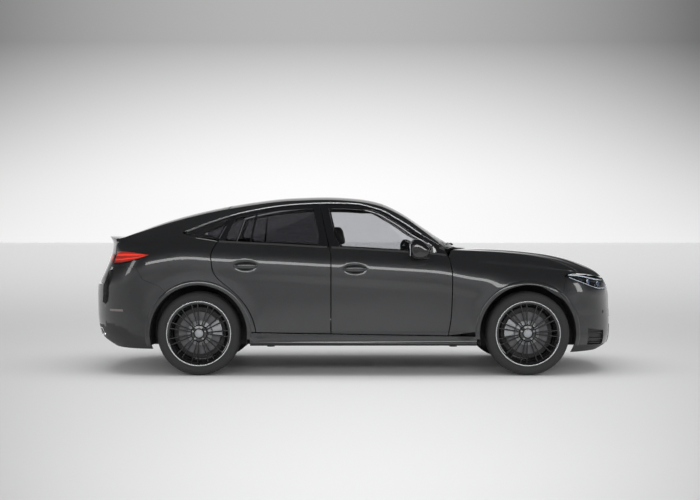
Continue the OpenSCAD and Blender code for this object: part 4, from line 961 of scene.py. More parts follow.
@dataclass
class Patch:
    """A ruled patch of the flank between two side view lines, given stretch by stretch."""

    rows: int
    lower: list[Array] = field(default_factory=list)
    upper: list[Array] = field(default_factory=list)

    def stretch(self, steps: int, lower: Outline, upper: Outline) -> "Patch":
        """Adds a stretch: each line is a function of a parameter from 0 to 1.

        Args:
            steps: Columns of the stretch.
            lower: Lower line.
            upper: Upper line.

        Returns:
            This patch.
        """
        t = np.linspace(0, 1, steps, endpoint=False)
        self.lower.append(np.stack(np.broadcast_arrays(*lower(t)), -1))
        self.upper.append(np.stack(np.broadcast_arrays(*upper(t)), -1))
        self._end = (lower(np.array([1.0])), upper(np.array([1.0])))
        return self

    def grid(self) -> Array:
        """Points on the flank, rows from the lower line to the upper one."""
        ends = [np.stack(np.broadcast_arrays(*line), -1) for line in self._end]
        low = np.concatenate(self.lower + [ends[0]])
        high = np.concatenate(self.upper + [ends[1]])
        v = np.linspace(0, 1, self.rows)[:, None, None]
        side = low[None] + (high - low)[None] * v
        return FORM.flank(side[..., 0], side[..., 1])


def straight(a: Point, b: Point) -> Outline:
    """A straight stretch between two side view points."""
    return lambda t: (lerp(a[0], b[0], t), lerp(a[1], b[1], t))


@dataclass
class DoorForm:
    """Layout of one side's doors: rows go from the sill, 0, by the belt, 1, to the frame's top, 2."""

    door_t: float = 85.0
    frame_t: float = 30.0
    step: float = 18.0
    glass_depth: float = 7.0
    glass_t: float = 5.0
    handle_l: float = 228.0
    bowl_half: tuple[float, float] = (112.0, 46.0)
    bowl_depth: float = 17.0
    hinge_r: float = 6.0

    def bottom(self, x: Number) -> Array:
        """Lower edge of the doors."""
        rear, front = FORM.axle_r + 500, FORM.axle_f - 700
        return lerp(FORM.sill_h + 121, FORM.sill_h + 93, (np.asarray(x, float) - rear) / (front - rear))

    def row_z(self, x: Number, v: Number) -> Array:
        """Height of a row."""
        top = FORM.window_line(np.minimum(x, FORM.split_x + 262)) - FORM.gap
        belt = FORM.belt(x)
        return np.where(np.asarray(v) <= 1, lerp(self.bottom(x), belt, v), lerp(belt, top, np.asarray(v) - 1))

    def cut_x(self, cut: Curve, v: Number, shift: float) -> Array:
        """Where a row meets a door cut.

        Args:
            cut: The door cut, x by height.
            v: Row values.
            shift: Shift in millimetres.

        Returns:
            X for each row.
        """
        x = cut(900.0) + 0 * np.asarray(v, float)
        for _ in range(3):
            x = cut(self.row_z(x, v))
        return x + shift

    def cut_pt(self, cut: Curve, v: Number, shift: float) -> tuple[Array, Array]:
        """Side view point of a row on a door cut."""
        x = self.cut_x(cut, v, shift)
        return x, self.row_z(x, v)

    def anchors(self, axle: Axle, v: Array) -> list[Array]:
        """X of the door's edges, its flanges and its window opening, for each row.

        Args:
            axle: Front or rear door.
            v: Row values.

        Returns:
            Six arrays of x, from the rear edge to the front edge.
        """
        half = FORM.gap / 2
        if axle is Axle.FRONT:
            cuts, low, high = (FORM.split, FORM.front_cut), (112, 112), (50, 40)
        else:
            cuts, low, high = (FORM.rear_cut, FORM.split), (60, 112), (34, 46)
        a, b = self.cut_x(cuts[0], v, half), self.cut_x(cuts[1], v, -half)
        wide = [np.interp(v, (0.84, 1, 1.3), (low[k], (low[k] + high[k]) / 2, high[k])) for k in (0, 1)]
        return [a, a + wide[0], a + wide[0] + self.step, b - wide[1] - self.step, b - wide[1], b]

    def rows(self) -> Array:
        """Row values, dense."""
        return spread((0, 0.07, 0.84, 1, 1.3, 1.9, 2), (3, 34, 8, 6, 10, 3))

    def grid(self, axle: Axle) -> tuple[Array, Array, Array]:
        """Outer grid of a door with its row values and its column values, counted in anchors.

        Args:
            axle: Front or rear door.

        Returns:
            The grid, its row values and its column values.
        """
        v = self.rows()
        cols = spread(range(6), (5, 2, 44, 2, 5))
        anchors = np.array(self.anchors(axle, v))
        low = np.clip(cols.astype(int), 0, 4)
        x = (anchors[low] + (anchors[low + 1] - anchors[low]) * (cols - low)[:, None]).T
        z = self.row_z(x, v[:, None])
        return FORM.flank(x, z), v, cols

    def handle_at(self, axle: Axle) -> tuple[float, float]:
        """Side view centre of the handle."""
        return (FORM.split_x + 216, 936.0) if axle is Axle.FRONT else (FORM.axle_r + 414, 962.0)

    def depth(self, v: Array, cols: Array) -> Array:
        """Thickness of the door: full inside, thin at its flanges.

        Args:
            v: Row values.
            cols: Column values, counted in anchors.

        Returns:
            Thickness for each point.
        """
        stages = (self.door_t, self.door_t, self.door_t - 20, self.frame_t, self.frame_t)
        full = np.interp(v, (0.07, 0.84, 1, 1.3, 1.9), stages)
        across = np.interp(cols, (1, 2, 3, 4), (0, 1, 1, 0))
        down = np.interp(v, (0, 0.07, 1.9, 2), (0, 1, 1, 0))
        return lerp(SKIN, full[:, None], across[None] * down[:, None])

    def window(self, v: Array, cols: Array) -> tuple[int, int, int, int]:
        """Cells of the window opening."""
        r0, r1 = int(np.argmin(abs(v - 1))), int(np.argmin(abs(v - 1.9)))
        c0, c1 = int(np.argmin(abs(cols - 2))), int(np.argmin(abs(cols - 3)))
        return r0, r1, c0, c1


DOORS = DoorForm()


@dataclass
class Door:
    """One door with its glass, handle, trim strip and inner panel."""

    axle: Axle
    side: Side
    palette: Palette

    @property
    def tag(self) -> str:
        """Name of the door's place."""
        return f"{self.axle.value}_{self.side.word}"

    @property
    def body(self) -> str:
        """Body that the door moves as."""
        return f"door_{self.tag}"

    def build(self) -> None:
        """Makes the door's pieces."""
        grid, v, cols = DOORS.grid(self.axle)
        hole = DOORS.window(v, cols)
        self._skin(grid, v, cols, hole)
        self._glass(grid, hole)
        self._strip(grid, v)
        self._handle()

    def _skin(self, grid: Array, v: Array, cols: Array, hole: tuple[int, int, int, int]) -> None:
        """Painted skin with a handle bowl, black window frame and inner panel.

        Args:
            grid: Outer grid.
            v: Row values.
            cols: Column values, counted in anchors.
            hole: Cells of the opening.
        """
        p = self.palette
        inner = sunk(grid, DOORS.depth(v, cols), Way.SIDE)
        outer = grid.copy()
        hx, hz = DOORS.handle_at(self.axle)
        r2 = ((outer[..., 0] - hx) / DOORS.bowl_half[0]) ** 2 + ((outer[..., 2] - hz) / DOORS.bowl_half[1]) ** 2
        outer[..., 1] -= DOORS.bowl_depth * np.clip(1 - r2, 0, 1) ** 1.3
        marks = np.where(v[:-1, None] + 0 * cols[None, :-1] < 0.999, 0, 1)
        shape = Shape().slab(outer, inner, 0, 2, [hole], marks)
        for z in (700.0, 856.0):
            shape.join(self._hinge(z))
        materials = [p.paint, p.gloss_black, p.cabin, p.under]
        self._put("door_skin", shape, materials, "paint", Finish(2.5), [f"door_{self.tag}"])

    def _put(
        self, name: str, shape: Shape, materials: list, slot: str, finish: Finish, replaces: Sequence[str] = (),
    ) -> None:
        """Makes a piece that moves with this door."""
        make_piece(f"{name}_{self.tag}", shape.for_side(self.side), self.body, materials, replaces, finish)

    def _hinge(self, z: float) -> Shape:
        """A hinge pin with the lug that carries it.

        Args:
            z: Height of the hinge's middle.

        Returns:
            The hinge.
        """
        cut = FORM.front_cut if self.axle is Axle.FRONT else FORM.split
        x = float(cut(800.0)) - 96
        y = float(FORM.flank_y(x, 860.0)) - 24
        turn = circle(24)
        ring = np.stack([x + DOORS.hinge_r * np.cos(turn), y + DOORS.hinge_r * np.sin(turn), 0 * turn], -1)
        rings = np.stack([ring + np.array([0, 0, z + dz]) for dz in (-25, 25)])
        return Shape().tube(rings, 3).block((x - 72, y - 8, z - 11), (x, y + 6, z + 11), 3)

    def _glass(self, grid: Array, hole: tuple[int, int, int, int]) -> None:
        """Side glass in the opening, just behind the frame's face.

        Args:
            grid: Outer grid.
            hole: Cells of the opening.
        """
        r0, r1, c0, c1 = hole
        pane = inset(grid[r0:r1 + 1, c0:c1 + 1], 2, 0)
        outer = sunk(pane, DOORS.glass_depth, Way.SIDE)
        shape = Shape().slab(outer, sunk(outer, DOORS.glass_t, Way.SIDE))
        front = self.axle is Axle.FRONT
        material = self.palette.glass if front else self.palette.tint
        self._put("side_glass", shape, [material], "glass", Finish(0.6, 1), [f"glass_{self.tag}"])
        if not front:
            self._divider(outer)

    def _divider(self, pane: Array) -> None:
        """Upright bar of the rear door's small rear light.

        Args:
            pane: Outer grid of the pane.
        """
        k = int(np.argmin(abs(pane[0, :, 0] - (FORM.axle_r + 446))))
        line = pane[:, k] + np.array([0, 4.0, 0])
        bar = np.array([(-9, -4), (9, -4), (9, 2.5), (-9, 2.5)], float)
        shape = Shape().sweep(line, bar[:, ::-1], (1, 0, 0))
        self._put("window_divider", shape, [self.palette.gloss_black], "black_trim", Finish(1.0, 1))

    def _strip(self, grid: Array, v: Array) -> None:
        """Black sealing strip along the belt.

        Args:
            grid: Outer grid.
            v: Row values.
        """
        row = int(np.argmin(abs(v - 1)))
        line = grid[row, 1:-1] + np.array([0, 0.5, 3.0])
        strip = np.array([(-4, -9), (3.5, -7), (4.5, 0), (3, 7), (-4, 9)], float)
        shape = Shape().sweep(line, strip)
        self._put("belt_strip", shape, [self.palette.gloss_black], "black_trim", Finish(0.8, 1, 60))

    def _handle(self) -> None:
        """Bowed grip across the bowl."""
        x, z = DOORS.handle_at(self.axle)
        t = np.linspace(-1, 1, 33)
        turn = circle(20)
        xs = x + t * (DOORS.handle_l / 2 - 4)
        rise = FORM.flank_y(xs, z + 0 * xs) - 6 + 25 * (1 - abs(t) ** 3.4)
        tall = 22 * (1 - abs(t) ** 3.0) ** 0.5 + 1.2
        thick = 8.5 * (1 - abs(t) ** 4) ** 0.5 + 1.0
        rings = np.stack([
            np.broadcast_to(xs[:, None], (33, 20)), rise[:, None] + thick[:, None] * np.cos(turn)[None],
            z + tall[:, None] * np.sin(turn)[None],
        ], -1)
        self._put("door_handle", Shape().tube(rings), [self.palette.paint], "paint", Finish(0))


@dataclass
class SidePanels:
    """Fixed outer panels of one side: fender, quarter panel, roof rail, sill and arch trims."""

    side: Side
    palette: Palette
    fender_end: float = 25.0
    quarter_t: float = 26.0
    trim_w: float = 42.0

    def build(self) -> None:
        """Makes the side's panels."""
        self._fender()
        self._quarter()
        self._rail()
        self._sill()
        for axle_x, name in ((FORM.axle_f, "front"), (FORM.axle_r, "rear")):
            self._arch_trim(axle_x, name)
            self._liner(axle_x, name)
        self._quarter_glass()

    def _piece(
        self, name: str, shape: Shape, materials: list, finish: Finish = Finish(),
    ) -> bpy.types.Object:
        """A piece of this side on the body."""
        return make_piece(f"{name}_{self.side.word}", shape.for_side(self.side), "body", materials, finish=finish)

    def _fender(self) -> None:
        """Front fender between arch, door, bonnet and lamp."""
        half = FORM.gap / 2
        front_x = float(phi_x(self.fender_end, 900))

        def top(k0: float, k1: float) -> Outline:
            """A stretch of the upper edge.

            Args:
                k0: Where it starts.
                k1: Where it ends.

            Returns:
                The stretch.
            """
            def line(t: Array) -> tuple[Array, Array]:
                """Point of the edge."""
                x = lerp(FORM.a_base_x + 10, front_x, lerp(k0, k1, t))
                return x, FORM.edge(x)[1] - half
            return line

        def arch(i0: float, i1: float) -> Outline:
            """A stretch of the wheel arch."""
            return lambda t: FORM.arch_pt(FORM.axle_f, FORM.arch_r, lerp(177, 44, lerp(i0, i1, t) / 9))

        def cut(t: Array) -> tuple[Array, Array]:
            """The door cut, from the sill to the belt."""
            return DOORS.cut_pt(FORM.front_cut, np.interp(6 * t, range(7), DOOR_ROWS), half)

        def lamp(t: Array) -> tuple[Array, Array]:
            """The headlamp's upper edge."""
            phi = lerp(LAMP_PHI[0], self.fender_end, t)
            z = lamp_top(phi) + half
            return phi_x(phi, z) - 4, z

        one = np.array([1.0])
        last_cut = [float(c[0]) for c in cut(one)]
        first_top = [float(c[0]) for c in top(0.03, 0.03)(one)]
        arch_end = [float(c) for c in FORM.arch_pt(FORM.axle_f, FORM.arch_r, 44)]
        tip = lamp_tip()
        lamp_start = [float(c[0]) for c in lamp(np.array([0.0]))]
        patch = Patch(26)
        patch.stretch(36, arch(0, 6), cut).stretch(6, arch(6, 7), straight(last_cut, first_top))
        patch.stretch(12, arch(7, 9), top(0.03, 0.28)).stretch(12, straight(arch_end, tip), top(0.28, 0.6))
        patch.stretch(6, straight(tip, lamp_start), top(0.6, 0.76)).stretch(10, lamp, top(0.76, 1.0))
        grid = patch.grid()
        inner = sunk(grid, SKIN, Way.SIDE)
        ahead = np.arange(grid.shape[1]) > 36
        inner[-1, ahead] = grid[-1, ahead] - np.array([0, 0.5, SKIN + 2])
        piece = self._piece("front_fender", Shape().slab(grid, inner), [self.palette.paint], Finish(2.5))
        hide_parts("front_fenders")

    def _quarter(self) -> None:
        """Rear quarter between arch, door, window, tailgate and bumper."""
        half, r = FORM.gap / 2, FORM.axle_r
        low = TAIL_SEAM
        knot, tip = (r - 20, 1202), (r - 162, 1250)
        gate = float(gate_edge_x(1190))
        angles = (3, 20, 34, 48, 64, 84, 110, 116, 122, 128)

        def arch(i0: float, i1: float) -> Outline:
            """A stretch of the wheel arch."""
            return lambda t: FORM.arch_pt(r, FORM.arch_r, np.interp(lerp(i0, i1, t), range(10), angles))

        def cut(t: Array) -> tuple[Array, Array]:
            """The door cut, from the sill to the belt."""
            return DOORS.cut_pt(FORM.rear_cut, np.interp(6 * t, range(7), DOOR_ROWS), -half)

        def top(i0: float, i1: float) -> Outline:
            """A stretch of the upper edge.

            Args:
                i0: Where it starts.
                i1: Where it ends.

            Returns:
                The stretch.
            """
            def line(t: Array) -> tuple[Array, Array]:
                """Point of the edge."""
                k = np.interp(lerp(i0, i1, t), range(7), (0, 0.16, 0.34, 0.5, 0.66, 0.82, 1))
                x = lerp(tip[0] - 0.3, gate, k)
                return x, FORM.edge(x)[1] - SEAM
            return line

        def seam(t: Array) -> tuple[Array, Array]:
            """The seam with the bumper."""
            k = np.interp(4 * t, range(5), (0, 0.2, 0.4, 0.7, 1))
            return lerp(low[2][0], gate_edge_x(950), k), lerp(low[2][1], 950, k)

        def gate_side(t: Array) -> tuple[Array, Array]:
            """The tailgate's side edge."""
            z = np.interp(3 * t, range(4), (float(FORM.edge(gate)[1]) - SEAM, 1160, 1090, 1010))
            return gate_edge_x(z), z

        arch_end = [float(c) for c in FORM.arch_pt(r, FORM.arch_r, 128)]
        first_cut = [float(c[0]) for c in cut(np.array([1.0]))]
        edge0 = [float(c[0]) for c in top(0, 0)(np.array([0.0]))]
        half_way = [lerp(arch_end[k], low[0][k], 0.5) for k in (0, 1)]
        patch = Patch(30)
        patch.stretch(40, arch(0, 6), cut).stretch(10, arch(6, 8), straight(first_cut, knot))
        patch.stretch(6, arch(8, 9), straight(knot, tip)).stretch(4, straight(arch_end, half_way), straight(tip, edge0))
        patch.stretch(4, straight(half_way, low[0]), top(0, 1)).stretch(8, straight(low[0], low[1]), top(1, 3))
        patch.stretch(8, straight(low[1], low[2]), top(3, 5)).stretch(5, lambda t: seam(t * 0.25), top(5, 6))
        patch.stretch(14, lambda t: seam(0.25 + 0.75 * t), gate_side)
        grid = patch.grid()[:, ::-1]
        inner = sunk(grid, self.quarter_t, Way.SIDE)
        shape = Shape().slab(grid, inner, 0, 1)
        piece = self._piece("quarter_panel", shape, [self.palette.paint, self.palette.under], Finish(2.5))
        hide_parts(f"quarter_panel_{self.side.word}")
        if self.side is Side.RIGHT:
            FuelFlap(self.palette).cut_from(piece)

    def _rail(self) -> None:
        """Painted roof rail and A-pillar, with the bright bead over the side windows."""
        x = np.linspace(FORM.axle_r - 161, FORM.axle_f - 772, 150)[None]
        v = np.linspace(0, 1, 12)[:, None]
        low, high = FORM.window_line(x) + FORM.gap / 2, FORM.edge(x)[1] - SEAM
        grid = FORM.flank(x + 0 * v, lerp(low, high, v))
        outer = sunk(grid, -1.0, Way.NORMAL)
        shape = Shape().slab(outer, sunk(grid, 2.0, Way.NORMAL))
        self._piece("roof_rail", shape, [self.palette.paint], Finish(1.2))
        bead = np.array([(-2.5, -3), (2, -2.5), (3, 0), (2, 2.5), (-2.5, 3)], float)
        line = outer[0, 2:-10] + np.array([0, 0.5, 1.0])
        self._piece("window_bead", Shape().sweep(line, bead), [self.palette.bright], Finish(0))

    def _sill(self) -> None:
        """Side skirt: a rounded ledge under the doors with a dark lower lip."""
        x = np.linspace(FORM.axle_r + FORM.arch_r + 26, FORM.axle_f - FORM.arch_r - 26, 120)[None]
        v = np.array([0, 0.08, 0.2, 0.27, 0.34, 0.45, 0.6, 0.78, 0.92, 1.0])[:, None]
        stand_out = np.array([-34, -6, 9, 14, 12.5, 7, 3.5, 2, 1.5, 1.0])[:, None]
        z = lerp(FORM.sill_h + 1, DOORS.bottom(x) - FORM.gap, v)
        grid = FORM.flank(x + 0 * v, np.maximum(z, FORM.sill_h + 40))
        grid[..., 2] = z
        grid[..., 1] += stand_out
        inner = grid.copy()
        inner[..., 1] = np.minimum(inner[..., 1] - 6, 880)
        marks = np.where(v[:-1] + 0 * x[:, :-1] < 0.15, 1, 0)
        shape = Shape().slab(grid, inner, 0, 1, marks=marks)
        self._piece("side_skirt", shape, [self.palette.paint, self.palette.satin_black], Finish(1.5))

    def _arch_trim(self, axle_x: float, name: str) -> None:
        """Raised lip round a wheel arch.

        Args:
            axle_x: X of the wheel's centre.
            name: Front or rear, for the piece's name.
        """
        front = axle_x > 0
        sweep = np.radians(np.linspace(186, -14, 120) if front else np.linspace(194, -6, 120))[None]
        t = np.linspace(0, 1, 10)[:, None]
        r = FORM.arch_r - 3 + self.trim_w * t
        x, z = axle_x + r * np.cos(sweep), FORM.hub_z + r * np.sin(sweep)
        grid = FORM.flank(x, np.maximum(z, FORM.sill_h))
        grid[..., 2] = z
        stand_out = 7.5 * (1 - (2 * t - 1) ** 4) ** 0.5 * (1 - 0.35 * t) + 0.6
        grid[..., 1] += stand_out
        inner = grid.copy()
        inner[..., 1] -= stand_out + 2 + 26 * (t < 0.05)
        shape = Shape().slab(grid, inner)
        self._piece(f"arch_trim_{name}", shape, [self.palette.paint], Finish(1.0))

    def _liner(self, axle_x: float, name: str) -> None:
        """Dark lining of a wheel arch with a wall inside of the wheel.

        Args:
            axle_x: X of the wheel's centre.
            name: Front or rear, for the piece's name.
        """
        sweep = np.radians(np.linspace(194, -14, 90))[None]
        x, z = axle_x + (FORM.arch_r + 1) * np.cos(sweep), FORM.hub_z + (FORM.arch_r + 1) * np.sin(sweep)
        outer_y = FORM.flank_y(x, np.maximum(z, FORM.sill_h + 60)) - 9
        v = np.linspace(0, 1, 4)[:, None]
        grid = np.stack([x + 0 * v, lerp(690.0 if axle_x > 0 else 604.0, outer_y, v), z + 0 * v], -1)
        inner = grid + np.stack([np.cos(sweep), 0 * sweep, np.sin(sweep)], -1) * 3
        shape = Shape().slab(grid, inner)
        if axle_x > 0:
            shape.block((axle_x - 515, 404, 226), (axle_x + 620, 408, 870))
        else:
            shape.block((axle_x - 470, 600, 250), (axle_x + 470, 604, 640))
        self._piece(f"arch_liner_{name}", shape, [self.palette.under], Finish(0))

    def _quarter_glass(self) -> None:
        """Fixed pane behind the rear door, with its black surround."""
        r, half = FORM.axle_r, FORM.gap / 2
        t, v = np.linspace(0, 1, 40)[None], np.linspace(0, 1, 16)[:, None]
        x = lerp(r - 122, r + 150, t) + 0 * v
        for _ in range(4):
            knot = np.interp(x, (r - 162, r - 20, r + 156), (1250, 1202, 1174))
            z = lerp(knot + SEAM, FORM.window_line(x) + half - 3, v)
            x = lerp(r - 122, FORM.rear_cut(z) - half - 4, t)
        pane = FORM.flank(x, z)
        outer = sunk(pane, 4.0, Way.SIDE)
        shape = Shape().slab(outer, sunk(outer, 6.0, Way.SIDE))
        piece = self._piece("quarter_pane", shape, [self.palette.tint], Finish(0.6, 1))
        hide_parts("quarter_glass")
        rim = np.concatenate([pane[0], pane[1:, -1], pane[-1, ::-1], pane[-2:0:-1, 0]])
        bead = np.array([(-5, -7), (1.5, -6), (2.5, 0), (1.5, 6), (-5, 7)], float)
        ring = Shape().sweep(rim, bead[:, ::-1], (0, 1, 0), closed=True)
        self._piece("quarter_pane_surround", ring, [self.palette.gloss_black], Finish(0))


LAMP_PHI = (12.0, 17.0, 24.0, 32.0, 40.0, 48.0, 57.0, 66.0)
LAMP_TOP = Curve([(12, 892), (28, 890), (46, 862), (66, 842)])
LAMP_LOW = Curve([(12, 872), (28, 800), (46, 742), (66, 744)])
TAIL_SEAM = tuple((FORM.axle_r - back, z) for back, z in ((346, 788), (490, 842), (550, 947)))
ROOF_REAR = FORM.axle_r + 236
GATE_PHI = 46.0
GATE_LOW = 800.0


def lamp_top(phi: Number) -> Array:
    """Upper edge of the headlamp by nose angle."""
    return np.interp(phi, LAMP_PHI, LAMP_TOP(np.array(LAMP_PHI))) - FORM.gap


def lamp_low(phi: Number) -> Array:
    """Lower edge of the headlamp by nose angle."""
    return np.interp(phi, LAMP_PHI, LAMP_LOW(np.array(LAMP_PHI)))


def phi_x(phi: Number, z: Number) -> Array:
    """X of a nose angle at a height."""
    return FORM.corner_f + (FORM.nose_x(z) - FORM.corner_f) * np.sin(np.radians(phi))


def lamp_tip() -> tuple[float, float]:
    """Side view point where fender, bumper and headlamp meet."""
    return float(phi_x(LAMP_PHI[0], 866)) - 5, 862.0


def gate_edge_x(z: Number) -> Array:
    """X of the tailgate's side edge at a height."""
    return FORM.corner_r + (FORM.tail_x(z) - FORM.corner_r) * math.sin(math.radians(GATE_PHI))


def dense(anchors: Sequence[float], n: int) -> Array:
    """Values from anchor to anchor with n steps each."""
    return spread(anchors, [n] * (len(anchors) - 1))


@dataclass
class Wrap:
    """A bumper's skin: columns hang from its upper edge, and the first one follows the wheel arch.

    The upper edge is a list of (turn, z): degrees round the corner, or steps along the flank where negative.
    """

    upper: list[tuple[float, float]]
    low: float
    corner_x: float
    end_x: Callable[[Number], Array]
    axle_x: float
    step: float

    def turn(self, x: Number, z: Number) -> Array:
        """Turn of a side view point.

        Args:
            x: Place along the car.
            z: Height.

        Returns:
            Turn in degrees, negative on the flank.
        """
        x = np.asarray(x, float)
        ahead = np.clip((x - self.corner_x) / (self.end_x(z) - self.corner_x), -1, 1)
        flank_turn = (x - self.corner_x) / self.step
        return np.where(flank_turn < 0, flank_turn, np.degrees(np.arcsin(np.maximum(ahead, 0))))

    def arch_turn(self, z: Number) -> Array:
        """Turn of the wheel arch at a height."""
        sign = 1 if self.step > 0 else -1
        reach = np.sqrt(np.maximum(0, FORM.arch_r**2 - (np.asarray(z, float) - FORM.hub_z) ** 2))
        return self.turn(self.axle_x + sign * (reach + SEAM), z)

    def point(self, turn: Array, z: Array) -> Array:
        """Point on the left of the skin."""
        side = FORM.flank(self.corner_x + self.step * turn, z)
        round_end = (FORM.nose if self.step > 0 else FORM.tail)(np.maximum(turn, 0), z)
        return np.where((turn < 0)[..., None], side, round_end)

    def grid(self, v: Array, cols: Array) -> Array:
        """Points of the left half for row values from 0 to 1 and columns counted in anchors.

        Args:
            v: Row values.
            cols: Column values, counted in anchors.

        Returns:
            Grid of the left half.
        """
        at = np.arange(len(self.upper))
        c = np.interp(cols, at, [q[0] for q in self.upper])[None]
        z = np.interp(cols, at, [q[1] for q in self.upper])[None]
        v = v[:, None]
        first, first_z = self.upper[0]
        c0 = float(self.arch_turn(self.low))
        s = (c - first) / (90 - first)
        bend = (1 - s) ** 4 * (self.arch_turn(lerp(self.low, first_z, v)) - lerp(c0, first, v))
        return self.point(lerp(lerp(c0, 90, s), c, v) + bend, lerp(self.low, z, v))


def both_sides(left: Array) -> Array:
    """A left half from flank to centreline, with its mirror image added."""
    right = left[:, -2::-1] * np.array([1, -1, 1])
    return np.concatenate([left, right], 1)


def wrap_in(grid: Array, depth: float, flank_cols: int) -> Array:
    """Inner grid of a wrapped bumper: level on the flanks, along the plan's normal round the corners.

    Args:
        grid: Outer grid.
        depth: Depth in millimetres.
        flank_cols: Columns that lie on each flank.

    Returns:
        The inner grid.
    """
    inner = sunk(grid, depth, Way.PLAN)
    level = grid - depth * np.sign(grid[..., 1:2]) * np.array([0, 1, 0])
    inner[:, :flank_cols], inner[:, -flank_cols:] = level[:, :flank_cols], level[:, -flank_cols:]
    return inner


def slat(line: Array, wide: float, tall: float) -> Shape:
    """A rounded bar along a line of points."""
    turn = circle(10)
    return Shape().sweep(line, np.stack([wide / 2 * np.cos(turn), tall / 2 * np.sin(turn)], -1))


@dataclass
class FrontEnd:
    """Front bumper with its grilles, and the headlamps."""

    palette: Palette
    rows: tuple[float, ...] = (0, 0.1, 0.2, 0.34, 0.46, 0.56, 0.72, 0.9, 1)
    row_steps: int = 5
    col_steps: int = 5
    low: float = 196.0
    flank_step: float = 11.0

    def __post_init__(self) -> None:
        """Lays out the bumper's skin."""
        wrap = Wrap([], self.low, FORM.corner_f, FORM.nose_x, FORM.axle_f, self.flank_step)
        arch = [float(c) for c in FORM.arch_pt(FORM.axle_f, FORM.arch_r, 44)]
        tip = lamp_tip()
        ends = [arch, [lerp(arch[k], tip[k], 0.5) for k in (0, 1)], tip]
        upper = [(float(wrap.turn(x + 0.5, h)), h - 0.4) for x, h in ends]
        upper += [(phi, float(lamp_low(phi)) - SEAM) for phi in LAMP_PHI[1:]]
        upper += [(phi, float(FORM.lead_pt((90 - phi) / 62)[2]) - FORM.gap) for phi in (68, 74, 82, 90)]
        wrap.upper = upper
        self.last = len(upper) - 1
        self.v = dense(self.rows, self.row_steps)
        self.full = both_sides(wrap.grid(self.v, dense(range(self.last + 1), self.col_steps)))

    def _cells(self, r0: int, r1: int, c0: int, c1: int) -> tuple[int, int, int, int]:
        """Cells of the dense grid for cells between anchors; columns are counted from the centreline."""
        m = self.last
        return r0 * self.row_steps, r1 * self.row_steps, (m + c0) * self.col_steps, (m + c1) * self.col_steps

    def build(self) -> None:
        """Makes the pieces of the nose."""
        p = self.palette
        holes = [self._cells(4, 7, -3, 3), self._cells(1, 3, -4, 4), self._cells(1, 3, -9, -6), self._cells(1, 3, 6, 9)]
        inner = wrap_in(self.full, 22, 3 * self.col_steps)
        marks = np.where(self.v[:-1, None] + 0 * self.full[None, 0, :-1, 0] < 0.099, 1, 0)
        shape = Shape().slab(self.full, inner, 0, 1, holes, marks)
        make_piece(
            "front_bumper_skin", shape, "body", [p.paint, p.satin_black], ["front_bumper"], Finish(3, 3),
        )
        self._grille("upper_grille", holes[0], 7, True)
        self._grille("lower_grille", holes[1], 4, False)
        for k, name in ((2, "left"), (3, "right")):
            self._grille(f"side_intake_{name}", holes[k], 3, False)
        for side in Side:
            self._headlamp(side)
        self._sensors()

    def _grille(self, name: str, hole: tuple[int, int, int, int], bars: int, main: bool) -> None:
        """Backing panel, bars and surround of an opening.

        Args:
            name: Name of the piece.
            hole: Cells of the opening.
            bars: Number of bars.
            main: Whether it is the upper grille.
        """
        p = self.palette
        r0, r1, c0, c1 = hole
        grid = self.full[r0:r1 + 1, c0:c1 + 1]
        back = sunk(grid, 19.5, Way.PLAN)
        centre = back.mean(axis=(0, 1))
        back = centre + (back - centre) * (1 - 0.004 * np.array([0.6, 1, 1]))
        shape = Shape().slab(back, sunk(back, 1.5, Way.PLAN), 0)
        mid = sunk(grid, 11, Way.PLAN)
        for k in range(bars):
            t = (k + 0.5) / bars * (len(grid) - 1)
            i, f = int(t), t - int(t)
            line = lerp(mid[i], mid[i + 1], f)
            shape.join(slat(line[1:-1], 14, 7 if main else 9).marked(1))
        stands_for = ["grille"] if main else []
        make_piece(name, shape, "body", [p.satin_black, p.gloss_black], stands_for, Finish(0.8, 1))
        rim = np.concatenate([grid[0], grid[1:, -1], grid[-1, ::-1][1:], grid[-2:0:-1, 0]])
        ring = slat_loop(rim, 9.0 if main else 6.0)
        finish = p.bright if main else p.gloss_black
        make_piece(f"{name}_surround", ring, "body", [finish], finish=Finish(0))

    def _headlamp(self, side: Side) -> None:
        """Clear lens over a dark bowl with a light strip and two projectors.

        Args:
            side: Side of the car.
        """
        p = self.palette
        phi = spread((12, 17, 24, 40, 65.2), (5, 6, 12, 16))[None]
        v = np.linspace(0, 1, 15)[:, None]
        low, high = lamp_low(phi) + SEAM, lamp_top(phi) - SEAM
        grid = FORM.nose(phi + 0 * v, lerp(low, high, v))
        lens = Shape().slab(grid, sunk(grid, 3.0, Way.PLAN))
        make_piece(
            f"headlamp_lens_{side.word}", lens.for_side(side), "body", [p.lens], ["headlamps"],
            Finish(0.8, 1),
        )
        deep = np.minimum(34, 6 + 1.4 * (phi - 12))
        bowl = sunk(grid, deep + 0 * v, Way.PLAN)
        bowl[0, :, 2] += 2
        bowl[-1, :, 2] -= 2
        shape = Shape().slab(bowl, sunk(bowl, 3, Way.PLAN), 0)
        for row, tall in ((12, 9.0), (2, 5.0)):
            line = sunk(grid, 9 + 0 * grid[..., 0], Way.PLAN)[row, 4:-2]
            shape.join(slat(line, 6, tall).marked(1))
        for turn in (38.0, 52.0):
            mid = float(lerp(lamp_low(turn), lamp_top(turn), 0.46))
            shape.join(self._projector(turn, mid))
        make_piece(
            f"headlamp_inside_{side.word}", shape.for_side(side), "body",
            [p.lamp_dark, p.lamp_white, p.lamp_blue, p.bright], finish=Finish(0.8, 1),
        )

